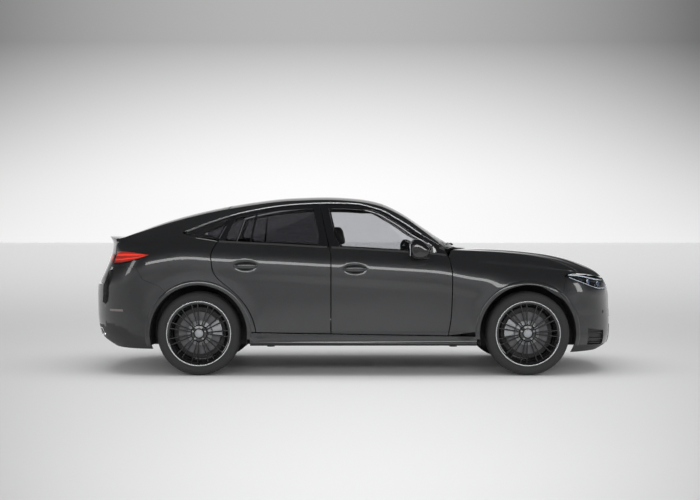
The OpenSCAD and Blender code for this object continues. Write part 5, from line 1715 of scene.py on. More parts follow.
    @staticmethod
    def _projector(phi: float, z: float) -> Shape:
        """A round lens in a bright ring, facing forward and outward.

        Args:
            phi: Nose angle in degrees.
            z: Height.

        Returns:
            The projector.
        """
        centre = FORM.nose(phi, z)
        face = math.radians(24)
        ahead = np.array([math.cos(face), math.sin(face), 0.0])
        side = np.array([-ahead[1], ahead[0], 0.0])
        around = spokes(32, side, np.array([0, 0, 1.0]))
        shape = Shape()
        ring = ((29, -33), (30, -22), (27, -21), (26, -33))
        lens = ((25.5, -33), (25.5, -23), (20, -18), (11, -15.5), (1, -15))
        for profile, mark in ((ring, 3), (lens, 2)):
            rings = np.stack([centre + around * r + ahead * d for r, d in profile])
            shape.tube(rings, mark)
        return shape

    def _sensors(self) -> None:
        """Round parking sensors in the bumper."""
        shape = Shape()
        for phi in (20.0, 52.0, 74.0):
            at = FORM.nose(phi, 545.0)
            near = FORM.nose(phi + 1, 545.0) - FORM.nose(phi - 1, 545.0)
            out = unit(np.array([-near[1], near[0], 0.0]))
            out = -out if out[0] < 0 else out
            around = spokes(24, unit(near), np.array([0, 0, 1.0]))
            one = Shape().tube(np.stack([at + around * r + out * d for r, d in ((12, -6), (12, 1.2), (9, 1.8))]))
            shape.join(one).join(one.mirrored())
        make_piece("front_sensors", shape, "body", [self.palette.satin_black], finish=Finish(0))


def hoop(centre: Point, r: float, steps: int) -> Array:
    """Circle in side view."""
    turn = circle(steps)
    return np.asarray(centre, float) + r * np.stack([np.cos(turn), np.sin(turn)], -1)


def prism(outline: Array, y: Point, mark: int = 0) -> Shape:
    """Side view outline drawn out from one y to another."""
    x, z = outline.T
    return Shape().tube(np.stack([np.stack([x, 0 * x + k, z], -1) for k in y]), mark)


def slat_loop(rim: Array, size: float) -> Shape:
    """A round bead along a closed line.

    Args:
        rim: Points of the closed line.
        size: Diameter of the bead.

    Returns:
        The bead.
    """
    turn = circle(8)
    ahead = unit(np.roll(rim, -1, 0) - np.roll(rim, 1, 0))
    out = unit(np.cross(ahead, rim - rim.mean(0)))
    side = np.cross(ahead, out)
    around = out[:, None] * np.cos(turn)[None, :, None] + side[:, None] * np.sin(turn)[None, :, None]
    return Shape().tube(rim[:, None] + size / 2 * around, 0, closed=True)


@dataclass
class RearEnd:
    """Rear bumper with its diffuser, reflectors and pipe trims, and the tail lamps."""

    palette: Palette
    col_steps: int = 4
    low: float = 232.0
    flank_step: float = -10.0

    def __post_init__(self) -> None:
        """Lays out the bumper's skin."""
        r, gap = FORM.axle_r, FORM.gap
        arch = [float(c) for c in FORM.arch_pt(r, FORM.arch_r, 128)]
        wrap = Wrap([], self.low, FORM.corner_r, FORM.tail_x, r, self.flank_step)
        seam = (float(gate_edge_x(950)), 950.0)
        line = [arch]
        knots = [arch, *TAIL_SEAM, seam]
        for a, b in zip(knots, knots[1:]):
            line += [[lerp(a[i], b[i], k) for i in (0, 1)] for k in ((0.2, 0.4, 0.7) if b is seam else (0.5, 1))]
        upper = [(float(wrap.turn(x - 0.8, z)), z - 1.0) for x, z in line]
        upper += [(GATE_PHI - 3, 949.0)] + [(c, GATE_LOW - gap) for c in (GATE_PHI - 1.8, 58.0, 68.0, 79.0, 90.0)]
        wrap.upper = upper
        self.v = np.linspace(0, 1, 41)
        self.left = wrap.grid(self.v, dense(range(len(upper)), self.col_steps))

    def build(self) -> None:
        """Makes the pieces of the tail that stay on the body."""
        p = self.palette
        grid = both_sides(self.left)[:, ::-1]
        inner = wrap_in(grid, 30, 7 * self.col_steps)
        across = np.linspace(-1, 1, grid.shape[1] - 1)[None]
        dark = 0.2 + 0.14 * np.clip(1.35 - 1.8 * abs(across), 0, 1)
        marks = np.where(self.v[:-1, None] < dark, 1, 0)
        shape = Shape().slab(grid, inner, 0, 1, marks=marks)
        make_piece("rear_bumper_skin", shape, "body", [p.paint, p.satin_black], ["rear_bumper"], Finish(3, 3))
        fins = Shape()
        for y in (-210.0, -70.0, 70.0, 210.0):
            z = np.linspace(262, 372, 10)
            x = FORM.tail_x(z) + 6
            line = np.stack([x, 0 * z + y, z], -1)
            fins.sweep(line, np.array([(-5, -10), (5, -10), (5, 3), (-5, 3)], float)[:, ::-1], (0, 1, 0))
        make_piece("diffuser_fins", fins, "body", [p.satin_black], finish=Finish(1.5, 1))
        for side in Side:
            self._reflector(side)
            self._pipe_trim(side)
            self._tail_lamp(side)

    def _ribbon(self, phi: Array, z: Number, tall: float, lift: float, sink: float = 3.0) -> Shape:
        """A raised strip on the tail along some angles."""
        v = np.linspace(-0.5, 0.5, 5)[:, None]
        grid = FORM.tail(phi[None] + 0 * v, z + tall * v + 0 * phi[None])[:, ::-1]
        return Shape().slab(sunk(grid, -lift, Way.PLAN), sunk(grid, sink, Way.PLAN))

    def _reflector(self, side: Side) -> None:
        """Slim reflector low on the corner.

        Args:
            side: Side of the car.
        """
        shape = self._ribbon(np.linspace(24, 40, 24), 567.0, 20.0, 1.5)
        make_piece(
            f"rear_reflector_{side.word}", shape.for_side(side), "body", [self.palette.reflector],
            finish=Finish(1.0, 1),
        )

    def _pipe_trim(self, side: Side) -> None:
        """Trapezoid opening with a bright frame for the tail pipe, filled by a gloss black plate as painted shade.

        Args:
            side: Side of the car.
        """
        p = self.palette
        y = np.array([470, 640, 620, 490.0])
        z = np.array([330, 336, 400, 396.0])
        corners = np.stack([y, z], -1)
        along = np.linspace(0, 1, 8, endpoint=False)[:, None]
        loop = np.concatenate([lerp(a, b, along) for a, b in zip(corners, np.roll(corners, -1, 0))])
        phi = np.degrees(np.arccos(np.clip((loop[:, 0] / 905) ** 1.5, 0, 1)))
        on_skin = np.array([FORM.tail(a, h) for a, h in zip(phi, loop[:, 1])])
        ring = slat_loop(on_skin, 13.0)
        make_piece(f"pipe_trim_{side.word}", ring.for_side(side), "body", [p.bright], finish=Finish(0))
        centre = on_skin.mean(0)
        # Painted shade: a gloss black plate on the skin stands in for the dark inside of the pipe opening.
        plate = Shape().tube(np.stack([on_skin + [-1.0, 0, 0], centre + (on_skin - centre) * 0.6 + [-1.5, 0, 0]]))
        name = f"pipe_mouth_{side.word}"
        make_piece(name, plate.for_side(side), "body", [p.gloss_black], finish=Finish(0))

    def _tail_lamp(self, side: Side) -> None:
        """Wedge lamp: dark red lens with two bright bars and a black lower edge.

        Args:
            side: Side of the car.
        """
        p, r = self.palette, FORM.axle_r
        t = np.linspace(0, 1, 44)[None]
        v = np.linspace(0, 1, 19)[:, None]

        def line(x: Array, keys: Sequence[tuple[float, float]]) -> Array:
            """Height of a broken line at x."""
            return np.interp(x, [r + k[0] for k in keys], [k[1] for k in keys])

        z = 1030.0 + 0 * v
        for _ in range(5):
            x = lerp(gate_edge_x(z) + 12, r - 438, t)
            low = line(x, ((-900, 962), (-700, 972), (-550, 1008), (-437, 1056)))
            high = line(x, ((-900, 1086), (-672, 1085), (-550, 1074), (-437, 1058)))
            z = lerp(low, high, v)
        grid = FORM.flank(x, z)
        outer = sunk(grid, -1.5, Way.PLAN)
        bars = ((v > 0.3) & (v < 0.44)) | ((v > 0.62) & (v < 0.78))
        marks = np.where(bars[:-1] & (t[:, :-1] < 0.9), 1, np.where(v[:-1] < 0.12, 2, 0))
        shape = Shape().slab(outer, sunk(grid, 18, Way.PLAN), 0, 2, marks=marks)
        make_piece(
            f"tail_lamp_{side.word}", shape.for_side(side), "body", [p.red_lens, p.red_bar, p.gloss_black],
            ["tail_lamps"], Finish(1.2, 2),
        )


@dataclass
class Tailgate:
    """Tailgate with its spoiler lip, glass, lamp band and blank number plate."""

    palette: Palette
    thick: float = 30.0
    pin_y: float = 150.0
    pin_back: float = 30.0
    pin_r: float = 5.0
    notch: float = 20.0
    half_top: float = 590.0
    glass_s: float = 0.86

    def __post_init__(self) -> None:
        """Stations along the tailgate."""
        self.top_x = ROOF_REAR - 10
        self.glass_x = FORM.axle_r - 690
        x = self.top_x - self.pin_back
        edge_y = float(FORM.edge(x)[0])
        self.axis = (x, float(FORM.roof_pt(x, self.pin_y / edge_y)[2]) - 13)

    def face(self, z: Number, s: Array) -> Array:
        """Point of the rear face.

        Args:
            z: Height.
            s: Place across, from -1 to 1.

        Returns:
            Points of the face.
        """
        z, s = np.broadcast_arrays(np.asarray(z, float), s)
        x1 = gate_edge_x(z)
        x = lerp(FORM.tail_x(z), x1 - FORM.gap, abs(s) ** 2.2)
        return np.stack([x, s * (FORM.flank_y(x1, z) - FORM.gap - 2.8), z], -1)

    def top(self, x: Number, s: Array) -> Array:
        """Point of the sloping top."""
        x, s = np.broadcast_arrays(np.asarray(x, float), s)
        edge_y = FORM.edge(x)[0]
        return FORM.roof_pt(x, s * (edge_y - FORM.gap) / edge_y)

    def grid(self) -> tuple[Array, list[int]]:
        """Outer grid and the rows where the lip, the glass and the roof end begin."""
        notch = [(self.pin_y + d) / self.half_top for d in (-self.notch, self.notch)]
        right = (0.0, *notch, 0.5, self.glass_s, 1.0)
        s = spread([-k for k in right[::-1]] + list(right[1:]), [6, 8, 6, 3, 4, 4, 3, 6, 8, 6])[None]
        self.s = s[0]
        z = spread((GATE_LOW, 880, 960, 1050, 1130, 1176), (5, 5, 6, 6, 4))[:, None]
        lip = lerp(FORM.axle_r - 930, float(gate_edge_x(1190)) - FORM.gap, abs(s) ** 2.2)
        k = spread((0, 0.35, 0.75, 1), (4, 5, 4))[:, None]
        up = spread((self.glass_x, self.top_x - 60), (30,))[1:, None]
        end = np.array([self.axis[0] - 22, (self.axis[0] - 22 + self.top_x) / 2, self.top_x])[:, None]
        parts = [self.face(z, s), self.top(lerp(lip, self.glass_x, k), s), self.top(up, s), self.top(end, s)]
        ends = np.cumsum([len(q) for q in parts])
        return np.concatenate(parts), [int(ends[0]), int(ends[1]) - 1, int(ends[2]) - 1]

    def build(self) -> None:
        """Makes the pieces of the tailgate."""
        p = self.palette
        grid, (lip, glass, end) = self.grid()
        inner = grid.copy()
        rim = np.array([abs(self.s) > 0.999])
        shift = np.zeros_like(grid)
        shift[:lip - 1, :, 0] = self.thick
        shift[lip - 1] = [self.thick + 8, 0, -4]
        shift[lip:lip + 3] = [self.thick + 24, 0, -22]
        shift[lip + 3:, :, 2] = np.where(rim, -14, -self.thick)
        inner += shift
        c0, c1 = (int(np.argmin(abs(self.s - k))) for k in (-self.glass_s, self.glass_s))
        holes = [(glass, end, c0, c1)]
        for y in (-self.pin_y, self.pin_y):
            a, b = (int(np.argmin(abs(self.s - (y + d) / self.half_top))) for d in (-self.notch, self.notch))
            holes.append((end + 1, len(grid) - 1, a, b))
        shape = Shape().slab(grid, inner, 0, 1, holes)
        for y in (-self.pin_y, self.pin_y):
            shape.join(prism(hoop(self.axis, self.pin_r, 20), (y - 30, y + 30), 1))
        make_piece("tailgate_skin", shape, "tailgate", [p.paint, p.cabin], ["tailgate"], Finish(3, 3))
        self._glass(grid[glass:end + 1, c0:c1 + 1])
        self._fittings()

    def _glass(self, opening: Array) -> None:
        """Rear window with a black border.

        Args:
            opening: Grid of the opening.
        """
        p = self.palette
        pane = inset(opening, 0, 1)
        u, w = np.linspace(0, 1, len(pane) - 1)[:, None], np.linspace(-1, 1, pane.shape[1] - 1)[None]
        marks = np.where((u < 0.05) | (u > 0.94) | (abs(w) > 0.93), 1, 0)
        shape = Shape().slab(pane, sunk(pane, 5, Way.TOP), marks=marks)
        materials = [p.tint, p.gloss_black]
        make_piece("rear_window", shape, "tailgate", materials, ["tailgate_glass"], Finish(0.6, 1))

    def _fittings(self) -> None:
        """Lamp band, and a blank number plate in its holder."""
        p = self.palette
        s = np.linspace(-0.93, 0.93, 80)[None]
        v = np.linspace(0, 1, 9)[:, None]
        band = self.face(lerp(985, 1062, v), s)
        marks = np.where((v[:-1] > 0.35) & (v[:-1] < 0.7) & (abs(s[:, :-1]) > 0.42), 1, 0)
        outer, back = band - [2.2, 0, 0], band + [4, 0, 0]
        make_piece(
            "tail_lamp_band", Shape().slab(outer, back, marks=marks), "tailgate", [p.red_lens, p.red_bar],
            finish=Finish(1.2, 2),
        )
        for name, reach, low, high, out, deep, material, finish in (
            ("plate_holder", 0.36, 826, 936, 1.5, 4, p.satin_black, Finish(1.5, 2)),
            ("blank_plate", 0.31, 834, 928, 3.0, 1, p.plate_white, Finish(1.0, 1)),
        ):
            face = self.face(lerp(low, high, v), np.linspace(-reach, reach, 30)[None])
            plate = Shape().slab(face - [out, 0, 0], face + [deep, 0, 0])
            make_piece(name, plate, "tailgate", [material], finish=finish)


@dataclass
class TopSide:
    """Roof with its glass, windscreen, wipers, bonnet and cowl."""

    palette: Palette
    roof_s: float = 0.82

    def __post_init__(self) -> None:
        """Stations along the roof."""
        self.roof_to = FORM.axle_f - 1268
        self.pane = (ROOF_REAR + 210, self.roof_to - 120)

    def build(self) -> None:
        """Makes the pieces."""
        self._roof()
        self._windscreen()
        self._wipers()
        self._bonnet()
        self._cowl()
        self._scuttle_corners()

    def _roof(self) -> None:
        """Painted roof round a dark glass panel."""
        p = self.palette
        x = spread((ROOF_REAR, *self.pane, self.roof_to), (8, 40, 6))[:, None]
        s = spread((-1, -self.roof_s, self.roof_s, 1), (5, 36, 5))[None]
        grid = FORM.roof_pt(x, s * (1 - (SEAM + 0.6) / FORM.edge(x)[0]))
        depth = np.where(abs(s) > 0.999, 11, 29) + 0 * x
        shape = Shape().slab(grid, sunk(grid, depth, Way.TOP), 0, 1, [(8, 48, 5, 41)])
        shape.join(self._gate_lugs())
        make_piece("roof_skin", shape, "body", [p.paint, p.lining], ["roof_panel"], Finish(2, 2))
        pane = inset(grid[8:49, 5:42], 0, 1)
        glass = Shape().slab(pane, sunk(pane, 10, Way.TOP))
        make_piece("roof_pane", glass, "body", [p.gloss_black], ["roof_glass"], Finish(1.0, 1))

    def _gate_lugs(self) -> Shape:
        """Two lugs under the roof that carry the tailgate's pins."""
        gate = Tailgate(self.palette)
        x, z = gate.axis
        eye = Shape().lathe(np.array([(5.4, -12.0), (10, -12), (10, 12), (5.4, 12)]), 24, 1)
        arm = np.array([(-9, -6), (-8, -36), (90, -52), (90, -8), (60, -8), (52, -30), (9, -6)], float)
        shape = Shape()
        for y in (-gate.pin_y, gate.pin_y):
            shape.join(eye.moved((x, y, z)))
            shape.join(prism(arm + (x, z), (y - 12, y + 12), 1))
        return shape

    def screen(self, u: Number, s: Array) -> Array:
        """Point of the windscreen: u runs from the cowl to the roof."""
        foot = lerp(FORM.cowl_x - 14, FORM.a_base_x + 4, s * s)
        x = lerp(foot, self.roof_to + SEAM, u)
        return FORM.roof_pt(x, s * (1 - lerp(12, 0.9, u) / FORM.edge(x)[0]))

    def _windscreen(self) -> None:
        """Windscreen with a black border, and the inside mirror."""
        p = self.palette
        u, s = np.linspace(1, 0, 41)[::-1, None], np.linspace(-1, 1, 61)[None]
        grid = self.screen(u, s + 0 * u)
        inner = sunk(grid, 5, Way.TOP)
        row, wide = u[:-1], abs(s[:, :-1])
        border = (wide > 0.95) | (row < 0.07) | (row > 0.95)
        spot = (wide < 0.1) & (row > 0.84)
        shape = Shape().slab(grid[:, ::-1], inner[:, ::-1], marks=np.where(border | spot, 1, 0)[:, ::-1])
        make_piece("windscreen_pane", shape, "body", [p.glass, p.gloss_black], ["windscreen"], Finish(0.6, 1))
        at = self.screen(np.array(0.84), np.array(0.0))
        inside = Shape().block(at + [-20, -14, -62], at + [8, 14, -7])
        inside.block(at + [-46, -118, -88], at + [-18, 118, -34])
        make_piece("inside_mirror", inside, "body", [p.satin_black], finish=Finish(6, 3))

    def _wipers(self) -> None:
        """Two parked wipers along the foot of the windscreen."""
        shape = Shape()
        for s0, s1 in ((0.72, 0.02), (0.02, -0.62)):
            t = np.linspace(0, 1, 24)
            s, u = lerp(s0, s1, t), lerp(0.05, 0.1, t)
            blade = self.screen(u, s) + [0, 0, 7.0]
            shape.join(slat(blade, 10, 8))
            arm = self.screen(lerp(0.035, 0.1, t[:14]), lerp(s0 - 0.02, (s0 + s1) / 2, t[:14] * 24 / 14)) + [0, 0, 15.0]
            shape.join(slat(arm, 13, 7))
        make_piece("wipers", shape, "body", [self.palette.satin_black], finish=Finish(0))

    def _bonnet(self) -> None:
        """Bonnet with two raised creases and a folded rim."""
        p = self.palette
        u = spread((0.05, 0.9, 0.995), (44, 8))[:, None]
        w = spread((-1, 0, 1), (32, 32))[None]
        grid = self._bonnet_grid(u, w)
        crease = np.exp(-(((abs(w) - 0.62) / 0.05) ** 2)) - 0.55 * np.exp(-(((abs(w) - 0.74) / 0.07) ** 2))
        fade = np.clip((u - 0.05) / 0.2, 0, 1) * np.clip((0.97 - u) / 0.12, 0, 1)
        grid[..., 2] += 5.0 * crease * fade
        drop = np.interp(u, (0.9, 0.93, 0.995), (28, 18, 8)) + 0 * w
        inner = sunk(grid, drop, Way.TOP)
        inner[0] = grid[0] - [-26, 0, 26]
        inner[-1] = grid[-1] - [26, 0, 0]
        inner[-2] = grid[-2] - [16, 0, 8]
        shape = Shape().slab(grid[::-1], inner[::-1], 0, 1)
        pin = (FORM.axle_f - 606, FORM.roof_h - 515)
        arm = np.array([(-8, -9), (84, -26), (84, -4), (4, 9), (-8, 6)], float)
        for y in (-600.0, 600.0):
            shape.join(prism(hoop(pin, 6, 20), (y - 22, y + 22), 1))
            shape.join(prism(arm + pin, (y - 7, y + 7), 1))
        make_piece("bonnet_skin", shape, "bonnet", [p.paint, p.under], ["bonnet"], Finish(2.5, 3))

    @staticmethod
    def _bonnet_grid(u: Array, w: Array) -> Array:
        """Bonnet surface over both halves: w runs from the right edge to the left."""
        half = FORM.bonnet_pt(u, abs(w) * (1 - FORM.gap / FORM.bonnet_half))
        return half * np.stack([1 + 0 * w, np.sign(w), 1 + 0 * w], -1)

    def _cowl(self) -> None:
        """Slatted plastic cover at the foot of the windscreen."""
        u = np.linspace(0.002, 0.05 - FORM.gap / 1320, 7)[:, None]
        w = np.linspace(-0.72, 0.72, 61)[None]
        grid = self._bonnet_grid(u, w)
        grid[1:-1, ::2, 2] -= 2.0
        shape = Shape().slab(grid[::-1], sunk(grid, 13, Way.TOP)[::-1])
        make_piece("cowl_cover", shape, "body", [self.palette.satin_black], finish=Finish(0.8, 1))

    def _scuttle_corners(self) -> None:
        """Blocks that close the gaps between the cowl's ends and the pillars."""
        shape = Shape()
        for y in (-750, 750):
            shape.block((752, y - 50, 1092), (806, y + 50, 1130))
        make_piece("scuttle_corners", shape, "body", [self.palette.satin_black], finish=Finish(4, 2))


@dataclass
class DoorMirror:
    """Outside mirror on a front door."""

    side: Side
    palette: Palette
    mid_x: float = 572.0
    mid_z: float = 1100.0

    def build(self) -> None:
        """Makes the housing with its foot, the glass and the turn lamp."""
        p, x = self.palette, FORM.axle_f - 905
        y0 = float(FORM.flank_y(x, 1090.0))
        body, word = f"door_front_{self.side.word}", self.side.word
        outline = np.array([
            (-96, 5), (-93, 62), (-66, 104), (-36, 112), (8, 100), (58, 54), (90, 6), (92, -22), (72, -60), (28, -82),
            (-52, -84), (-88, -58),
        ], float)
        shells = []
        for t in np.linspace(0, 1, 16):
            swell = 0.3 + 0.7 * (1 - (2 * t - 1) ** 4) ** 0.5
            ring = outline * np.array([lerp(1.0, 0.86, t) * swell, lerp(0.92, 0.86, t) * swell])
            y = lerp(y0 + 58, y0 + 208, t)
            shells.append(np.stack([self.mid_x + ring[:, 0] + 10 * t, y + 0 * ring[:, 0], self.mid_z + ring[:, 1]], -1))
        shape = Shape().tube(np.array(shells))
        foot_z = float(FORM.belt(x)) - 40
        rings = []
        for t in np.linspace(0, 1, 8):
            turn = circle(20)
            reach = lerp(float(FORM.flank_y(x, foot_z)) - 2, y0 + 92, t)
            rings.append(np.stack([
                lerp(x, self.mid_x + 20, t) + lerp(52, 30, t) * np.cos(turn), reach + 0 * turn,
                lerp(foot_z, self.mid_z - 58, t) + lerp(15, 12, t) * np.sin(turn),
            ], -1))
        shape.tube(np.array(rings))
        make_piece(
            f"mirror_housing_{word}", shape.for_side(self.side), body, [p.gloss_black],
            [f"mirror_{word}"], Finish(0, 1, 60, 2),
        )
        pane = Shape().block((self.mid_x - 86, y0 + 96, self.mid_z - 48), (self.mid_x - 79, y0 + 172, self.mid_z + 54))
        pane = pane.for_side(self.side)
        make_piece(f"mirror_glass_{word}", pane, body, [p.mirror], finish=Finish(0.6, 1))
        t = np.linspace(0.2, 0.85, 12)
        line = np.stack([self.mid_x + lerp(88, 80, t), lerp(y0 + 70, y0 + 196, t), self.mid_z - 8 + 0 * t], -1)
        lamp = slat(line, 8, 6).for_side(self.side)
        make_piece(f"turn_lamp_{word}", lamp, body, [p.amber], finish=Finish(0))


@dataclass
class FuelFlap:
    """Round-cornered fuel flap in the right quarter panel."""

    palette: Palette
    long: float = 216.0
    tall: float = 132.0
    corner: float = 30.0
    thick: float = 6.0

    def __post_init__(self) -> None:
        """Place of the flap in side view."""
        self.x, self.z = FORM.axle_r - 168, 1002.0

    def outline(self, grow: float, steps: int = 8) -> Array:
        """Side view outline grown by a distance.

        Args:
            grow: Distance to grow by.
            steps: Points of each corner.

        Returns:
            Points (x, z).
        """
        r = self.corner + grow
        hx, hz = self.long / 2 - self.corner, self.tall / 2 - self.corner
        out = []
        for k, (sx, sz) in enumerate(((1, 1), (-1, 1), (-1, -1), (1, -1))):
            a = np.radians(np.linspace(90 * k, 90 * k + 90, steps))
            out.append(np.stack([self.x + sx * hx + r * np.cos(a), self.z + sz * hz + r * np.sin(a)], -1))
        return np.concatenate(out)

    def cut_from(self, piece: bpy.types.Object) -> None:
        """Cuts the opening out of the right quarter panel.

        Args:
            piece: The piece to cut.
        """
        cutter = prism(self.outline(FORM.gap / 2), (-1100.0, -870.0))
        mesh = bpy.data.meshes.new("flap_cutter")
        mesh.from_pydata([tuple(c * MM for c in q) for q in cutter.points], [], cutter.faces)
        tool = bpy.data.objects.new("flap_cutter", mesh)
        bpy.context.scene.collection.objects.link(tool)
        cut = piece.modifiers.new("flap", "BOOLEAN")
        cut.object, cut.operation, cut.solver = tool, "DIFFERENCE", "EXACT"
        bpy.context.view_layer.objects.active = piece
        bpy.ops.object.modifier_move_to_index(modifier="flap", index=0)
        bpy.ops.object.modifier_apply(modifier="flap")
        bpy.data.objects.remove(tool)

    def build(self) -> None:
        """Makes the flap and its hinge pin."""
        p, half = self.palette, FORM.gap / 2
        loop = self.outline(-half)
        centre = loop.mean(0)
        rings = np.array([centre + (loop - centre) * k for k in (1.0, 0.97, 0.7, 0.35, 0.02)])
        outer = FORM.flank(rings[..., 0], rings[..., 1])
        back = outer[:1] - [0, self.thick, 0]
        outer[0, :, 1] -= 1.2
        skin = Shape().tube(np.concatenate([back, outer]))
        pin_x = self.x + self.long / 2 - half - 30
        pin_y = float(FORM.flank_y(pin_x, self.z)) - 16
        turn = circle(16)
        ring = np.stack([pin_x + 3.5 * np.cos(turn), pin_y + 3.5 * np.sin(turn), 0 * turn + self.z], -1)
        skin.tube(np.stack([ring - [0, 0, 28], ring + [0, 0, 28]]), 1)
        skin.block((pin_x - 8, pin_y - 2, self.z - 13), (pin_x + 4, pin_y + 12, self.z + 13), 1)
        make_piece(
            "fuel_flap_skin", skin.for_side(Side.RIGHT), "fuel_flap", [p.paint, p.satin_black], ["fuel_flap"],
            Finish(0.8, 1),
        )


def polar(r: Number, degrees: Number, a: Number) -> Array:
    """Point in wheel coordinates: radius, turn from the front and distance outward."""
    t = np.radians(degrees)
    return np.stack(np.broadcast_arrays(r * np.cos(t), np.asarray(a, float), r * np.sin(t)), -1)


def arc_block(r: tuple[float, float], turn: tuple[float, float], a: tuple[float, float], mark: int = 0) -> Shape:
    """A block bent round the hub."""
    t = np.linspace(turn[0], turn[1], 14)
    section = ((r[0], a[0]), (r[1], a[0]), (r[1], a[1]), (r[0], a[1]))
    return Shape().tube(np.stack([np.stack([polar(q[0], k, q[1]) for q in section]) for k in t]), mark)


@dataclass
class Wheel:
    """One road wheel with its tyre, disc and calliper; made at the left, outward is +Y."""

    axle: Axle
    side: Side
    palette: Palette
    rim_r: float = 273.0
    half: float = 127.5
    hub_y: float = 785.5
    pairs: int = 11
    disc_r: float = 185.0
    shield_r: float = 226.0

    def build(self) -> None:
        """Makes the wheel's pieces."""
        p, tag = self.palette, f"{self.axle.value}_{self.side.word}"
        body = f"wheel_{tag}"
        self._put("tyre_rubber", self._tyre(), body, [p.tyre], "tyre", [f"tyre_{tag}"], Finish(0, 1, 50))
        rim = [p.rim_black, p.rim_cut, p.alloy]
        self._put("rim", self._rim(), body, rim, "alloy", [f"wheel_{tag}"], Finish(1.2, 2, 35))
        self._put("brake_disc", self._disc(), body, [p.steel, p.alloy], "alloy", [], Finish(1.0, 1))
        stay = f"knuckle_{self.side.word}" if self.axle is Axle.FRONT else "body"
        self._put("calliper", self._calliper(), stay, [p.alloy], "chassis", [], Finish(4, 3))
        self._put("splash_shield", self._shield(), stay, [p.satin_black], "chassis", [], Finish(0))

    def _put(
        self, name: str, shape: Shape, body: str, materials: list, slot: str, replaces: list[str], finish: Finish,
    ) -> None:
        """Places a shape of the wheel on the car."""
        x = FORM.axle_f if self.axle is Axle.FRONT else FORM.axle_r
        placed = shape.moved((x, self.hub_y, FORM.hub_z)).for_side(self.side)
        make_piece(f"{name}_{self.axle.value}_{self.side.word}", placed, body, materials, replaces, finish)

    def _tyre(self) -> Shape:
        """Tyre with rounded shoulders, sidewall ribs, four grooves and cross cuts in the tread."""
        side = [
            (267, 98), (270, 108), (277, 110.5), (286, 113.5), (289, 115.6), (291, 115), (304, 122), (318, 126.4),
            (328, 127), (331, 127.4), (333, 126.2), (344, 122.5), (353, 116), (360, 107), (363.5, 99), (365.5, 91),
        ]
        tread = []
        for a in (66, 22):
            tread += [(367, a + 6), (367.2, a + 4.2), (360.5, a + 3.6)]
            tread += [(360.5, a - 3.6), (367.4, a - 4.2), (367.6, a - 6)]
        out = side + tread + [(368, 0)]
        profile = np.array(out + [(r, -a) for r, a in out[-2::-1]] + [(262, -92), (262, 92)], float)
        steps = 216
        turn = np.linspace(0, 360, steps, endpoint=False)
        rings = np.stack([polar(profile[:, 0], t, profile[:, 1]) for t in turn])
        cut = (np.arange(steps) % 4 == 0)[:, None] & (profile[None, :, 0] > 364) & (abs(profile[None, :, 1]) > 26)
        scale = np.where(cut, 1 - 4.5 / 366, 1.0)[..., None]
        return Shape().tube(rings * np.where(np.array([True, False, True]), scale, 1.0), 0, closed=True)

    def _rim(self) -> Shape:
        """Barrel, bright edge, paired spokes, hub and a plain cap."""
        b, w = self.rim_r, self.half
        barrel = np.array([
            (b - 22, -0.8 * w), (b - 7, -0.84 * w), (b - 7, -0.9 * w), (b - 30, -0.9 * w), (b - 34, -0.5 * w),
            (b - 34, 0.3 * w), (b - 24, 0.66 * w), (b - 8, 0.84 * w), (b - 7, 0.8 * w), (b - 18, 0.6 * w),
            (b - 26, 0.3 * w), (b - 26, -0.4 * w),
        ])
        shape = Shape().lathe(barrel, 120)
        bed = np.array([(b - 9, 0.8 * w), (b + 3, 0.88 * w), (b + 4, 0.918 * w), (b - 2, 0.9 * w), (b - 14, 0.82 * w)])
        shape.lathe(bed, 120)
        edge = np.array([
            (b + 3.5, 0.9 * w), (b + 12, 0.9 * w), (b + 12.5, 0.915 * w), (b + 11, 0.925 * w), (b + 4.5, 0.928 * w),
            (b + 3.5, 0.92 * w),
        ])
        shape.lathe(edge, 120, 1)
        hub = np.array([(1, 30), (70, 40), (76, 52), (76, 74), (66, 86), (46, 90), (43, 83), (1, 83)])
        shape.lathe(hub, 72)
        for i in range(self.pairs):
            for k in (-1, 1):
                shape.join(self._spoke(i * 360 / self.pairs + k * 6))
        for i in range(5):
            at = polar(57, 72 * i + 18, 0)
            shape.join(Shape().lathe(np.array([(1, 82), (9, 82), (9, 91), (7, 93), (1, 93)]), 12, 2).moved(at))
        cap = np.array([(1, 80), (36, 80), (37, 91), (34, 94), (28, 94.5), (25, 91.5), (12, 92.5), (1, 93)])
        return shape.join(Shape().lathe(cap, 48, 2))

    def _spoke(self, turn: float) -> Shape:
        """A slim spoke with a ridge along its middle.

        Args:
            turn: Turn of the spoke in degrees.

        Returns:
            The spoke.
        """
        rows = []
        for t in np.linspace(0, 1, 9):
            r = lerp(58, self.rim_r - 12, t)
            wide = lerp(5.0, 6.8, t) + 2.5 * max(0, t - 0.8)
            front = 86 + 17 * t ** 1.6
            back = front - lerp(26, 20, t)
            section = (
                (-wide, front - 5), (-wide * 0.45, front), (wide * 0.45, front), (wide, front - 5), (wide * 0.7, back),
                (-wide * 0.7, back),
            )
            a = math.radians(turn)
            rows.append([(r * math.cos(a) - q * math.sin(a), d, r * math.sin(a) + q * math.cos(a)) for q, d in section])
        return Shape().tube(np.array(rows))

    def _disc(self) -> Shape:
        """Vented brake disc: two plates, the vanes between them and the bell."""
        r = self.disc_r
        shape = Shape().lathe(np.array([(110, 28), (r, 28), (r, 36), (110, 36)]), 96)
        shape.lathe(np.array([(110, 10), (r, 10), (r, 18), (110, 18)]), 96)
        for i in range(36):
            shape.join(arc_block((116, r - 3), (10 * i, 10 * i + 3.4), (17.5, 28.5)))
        return shape.join(Shape().lathe(np.array([(48, 20), (112, 14), (112, 34), (84, 46), (48, 46)]), 72, 1))

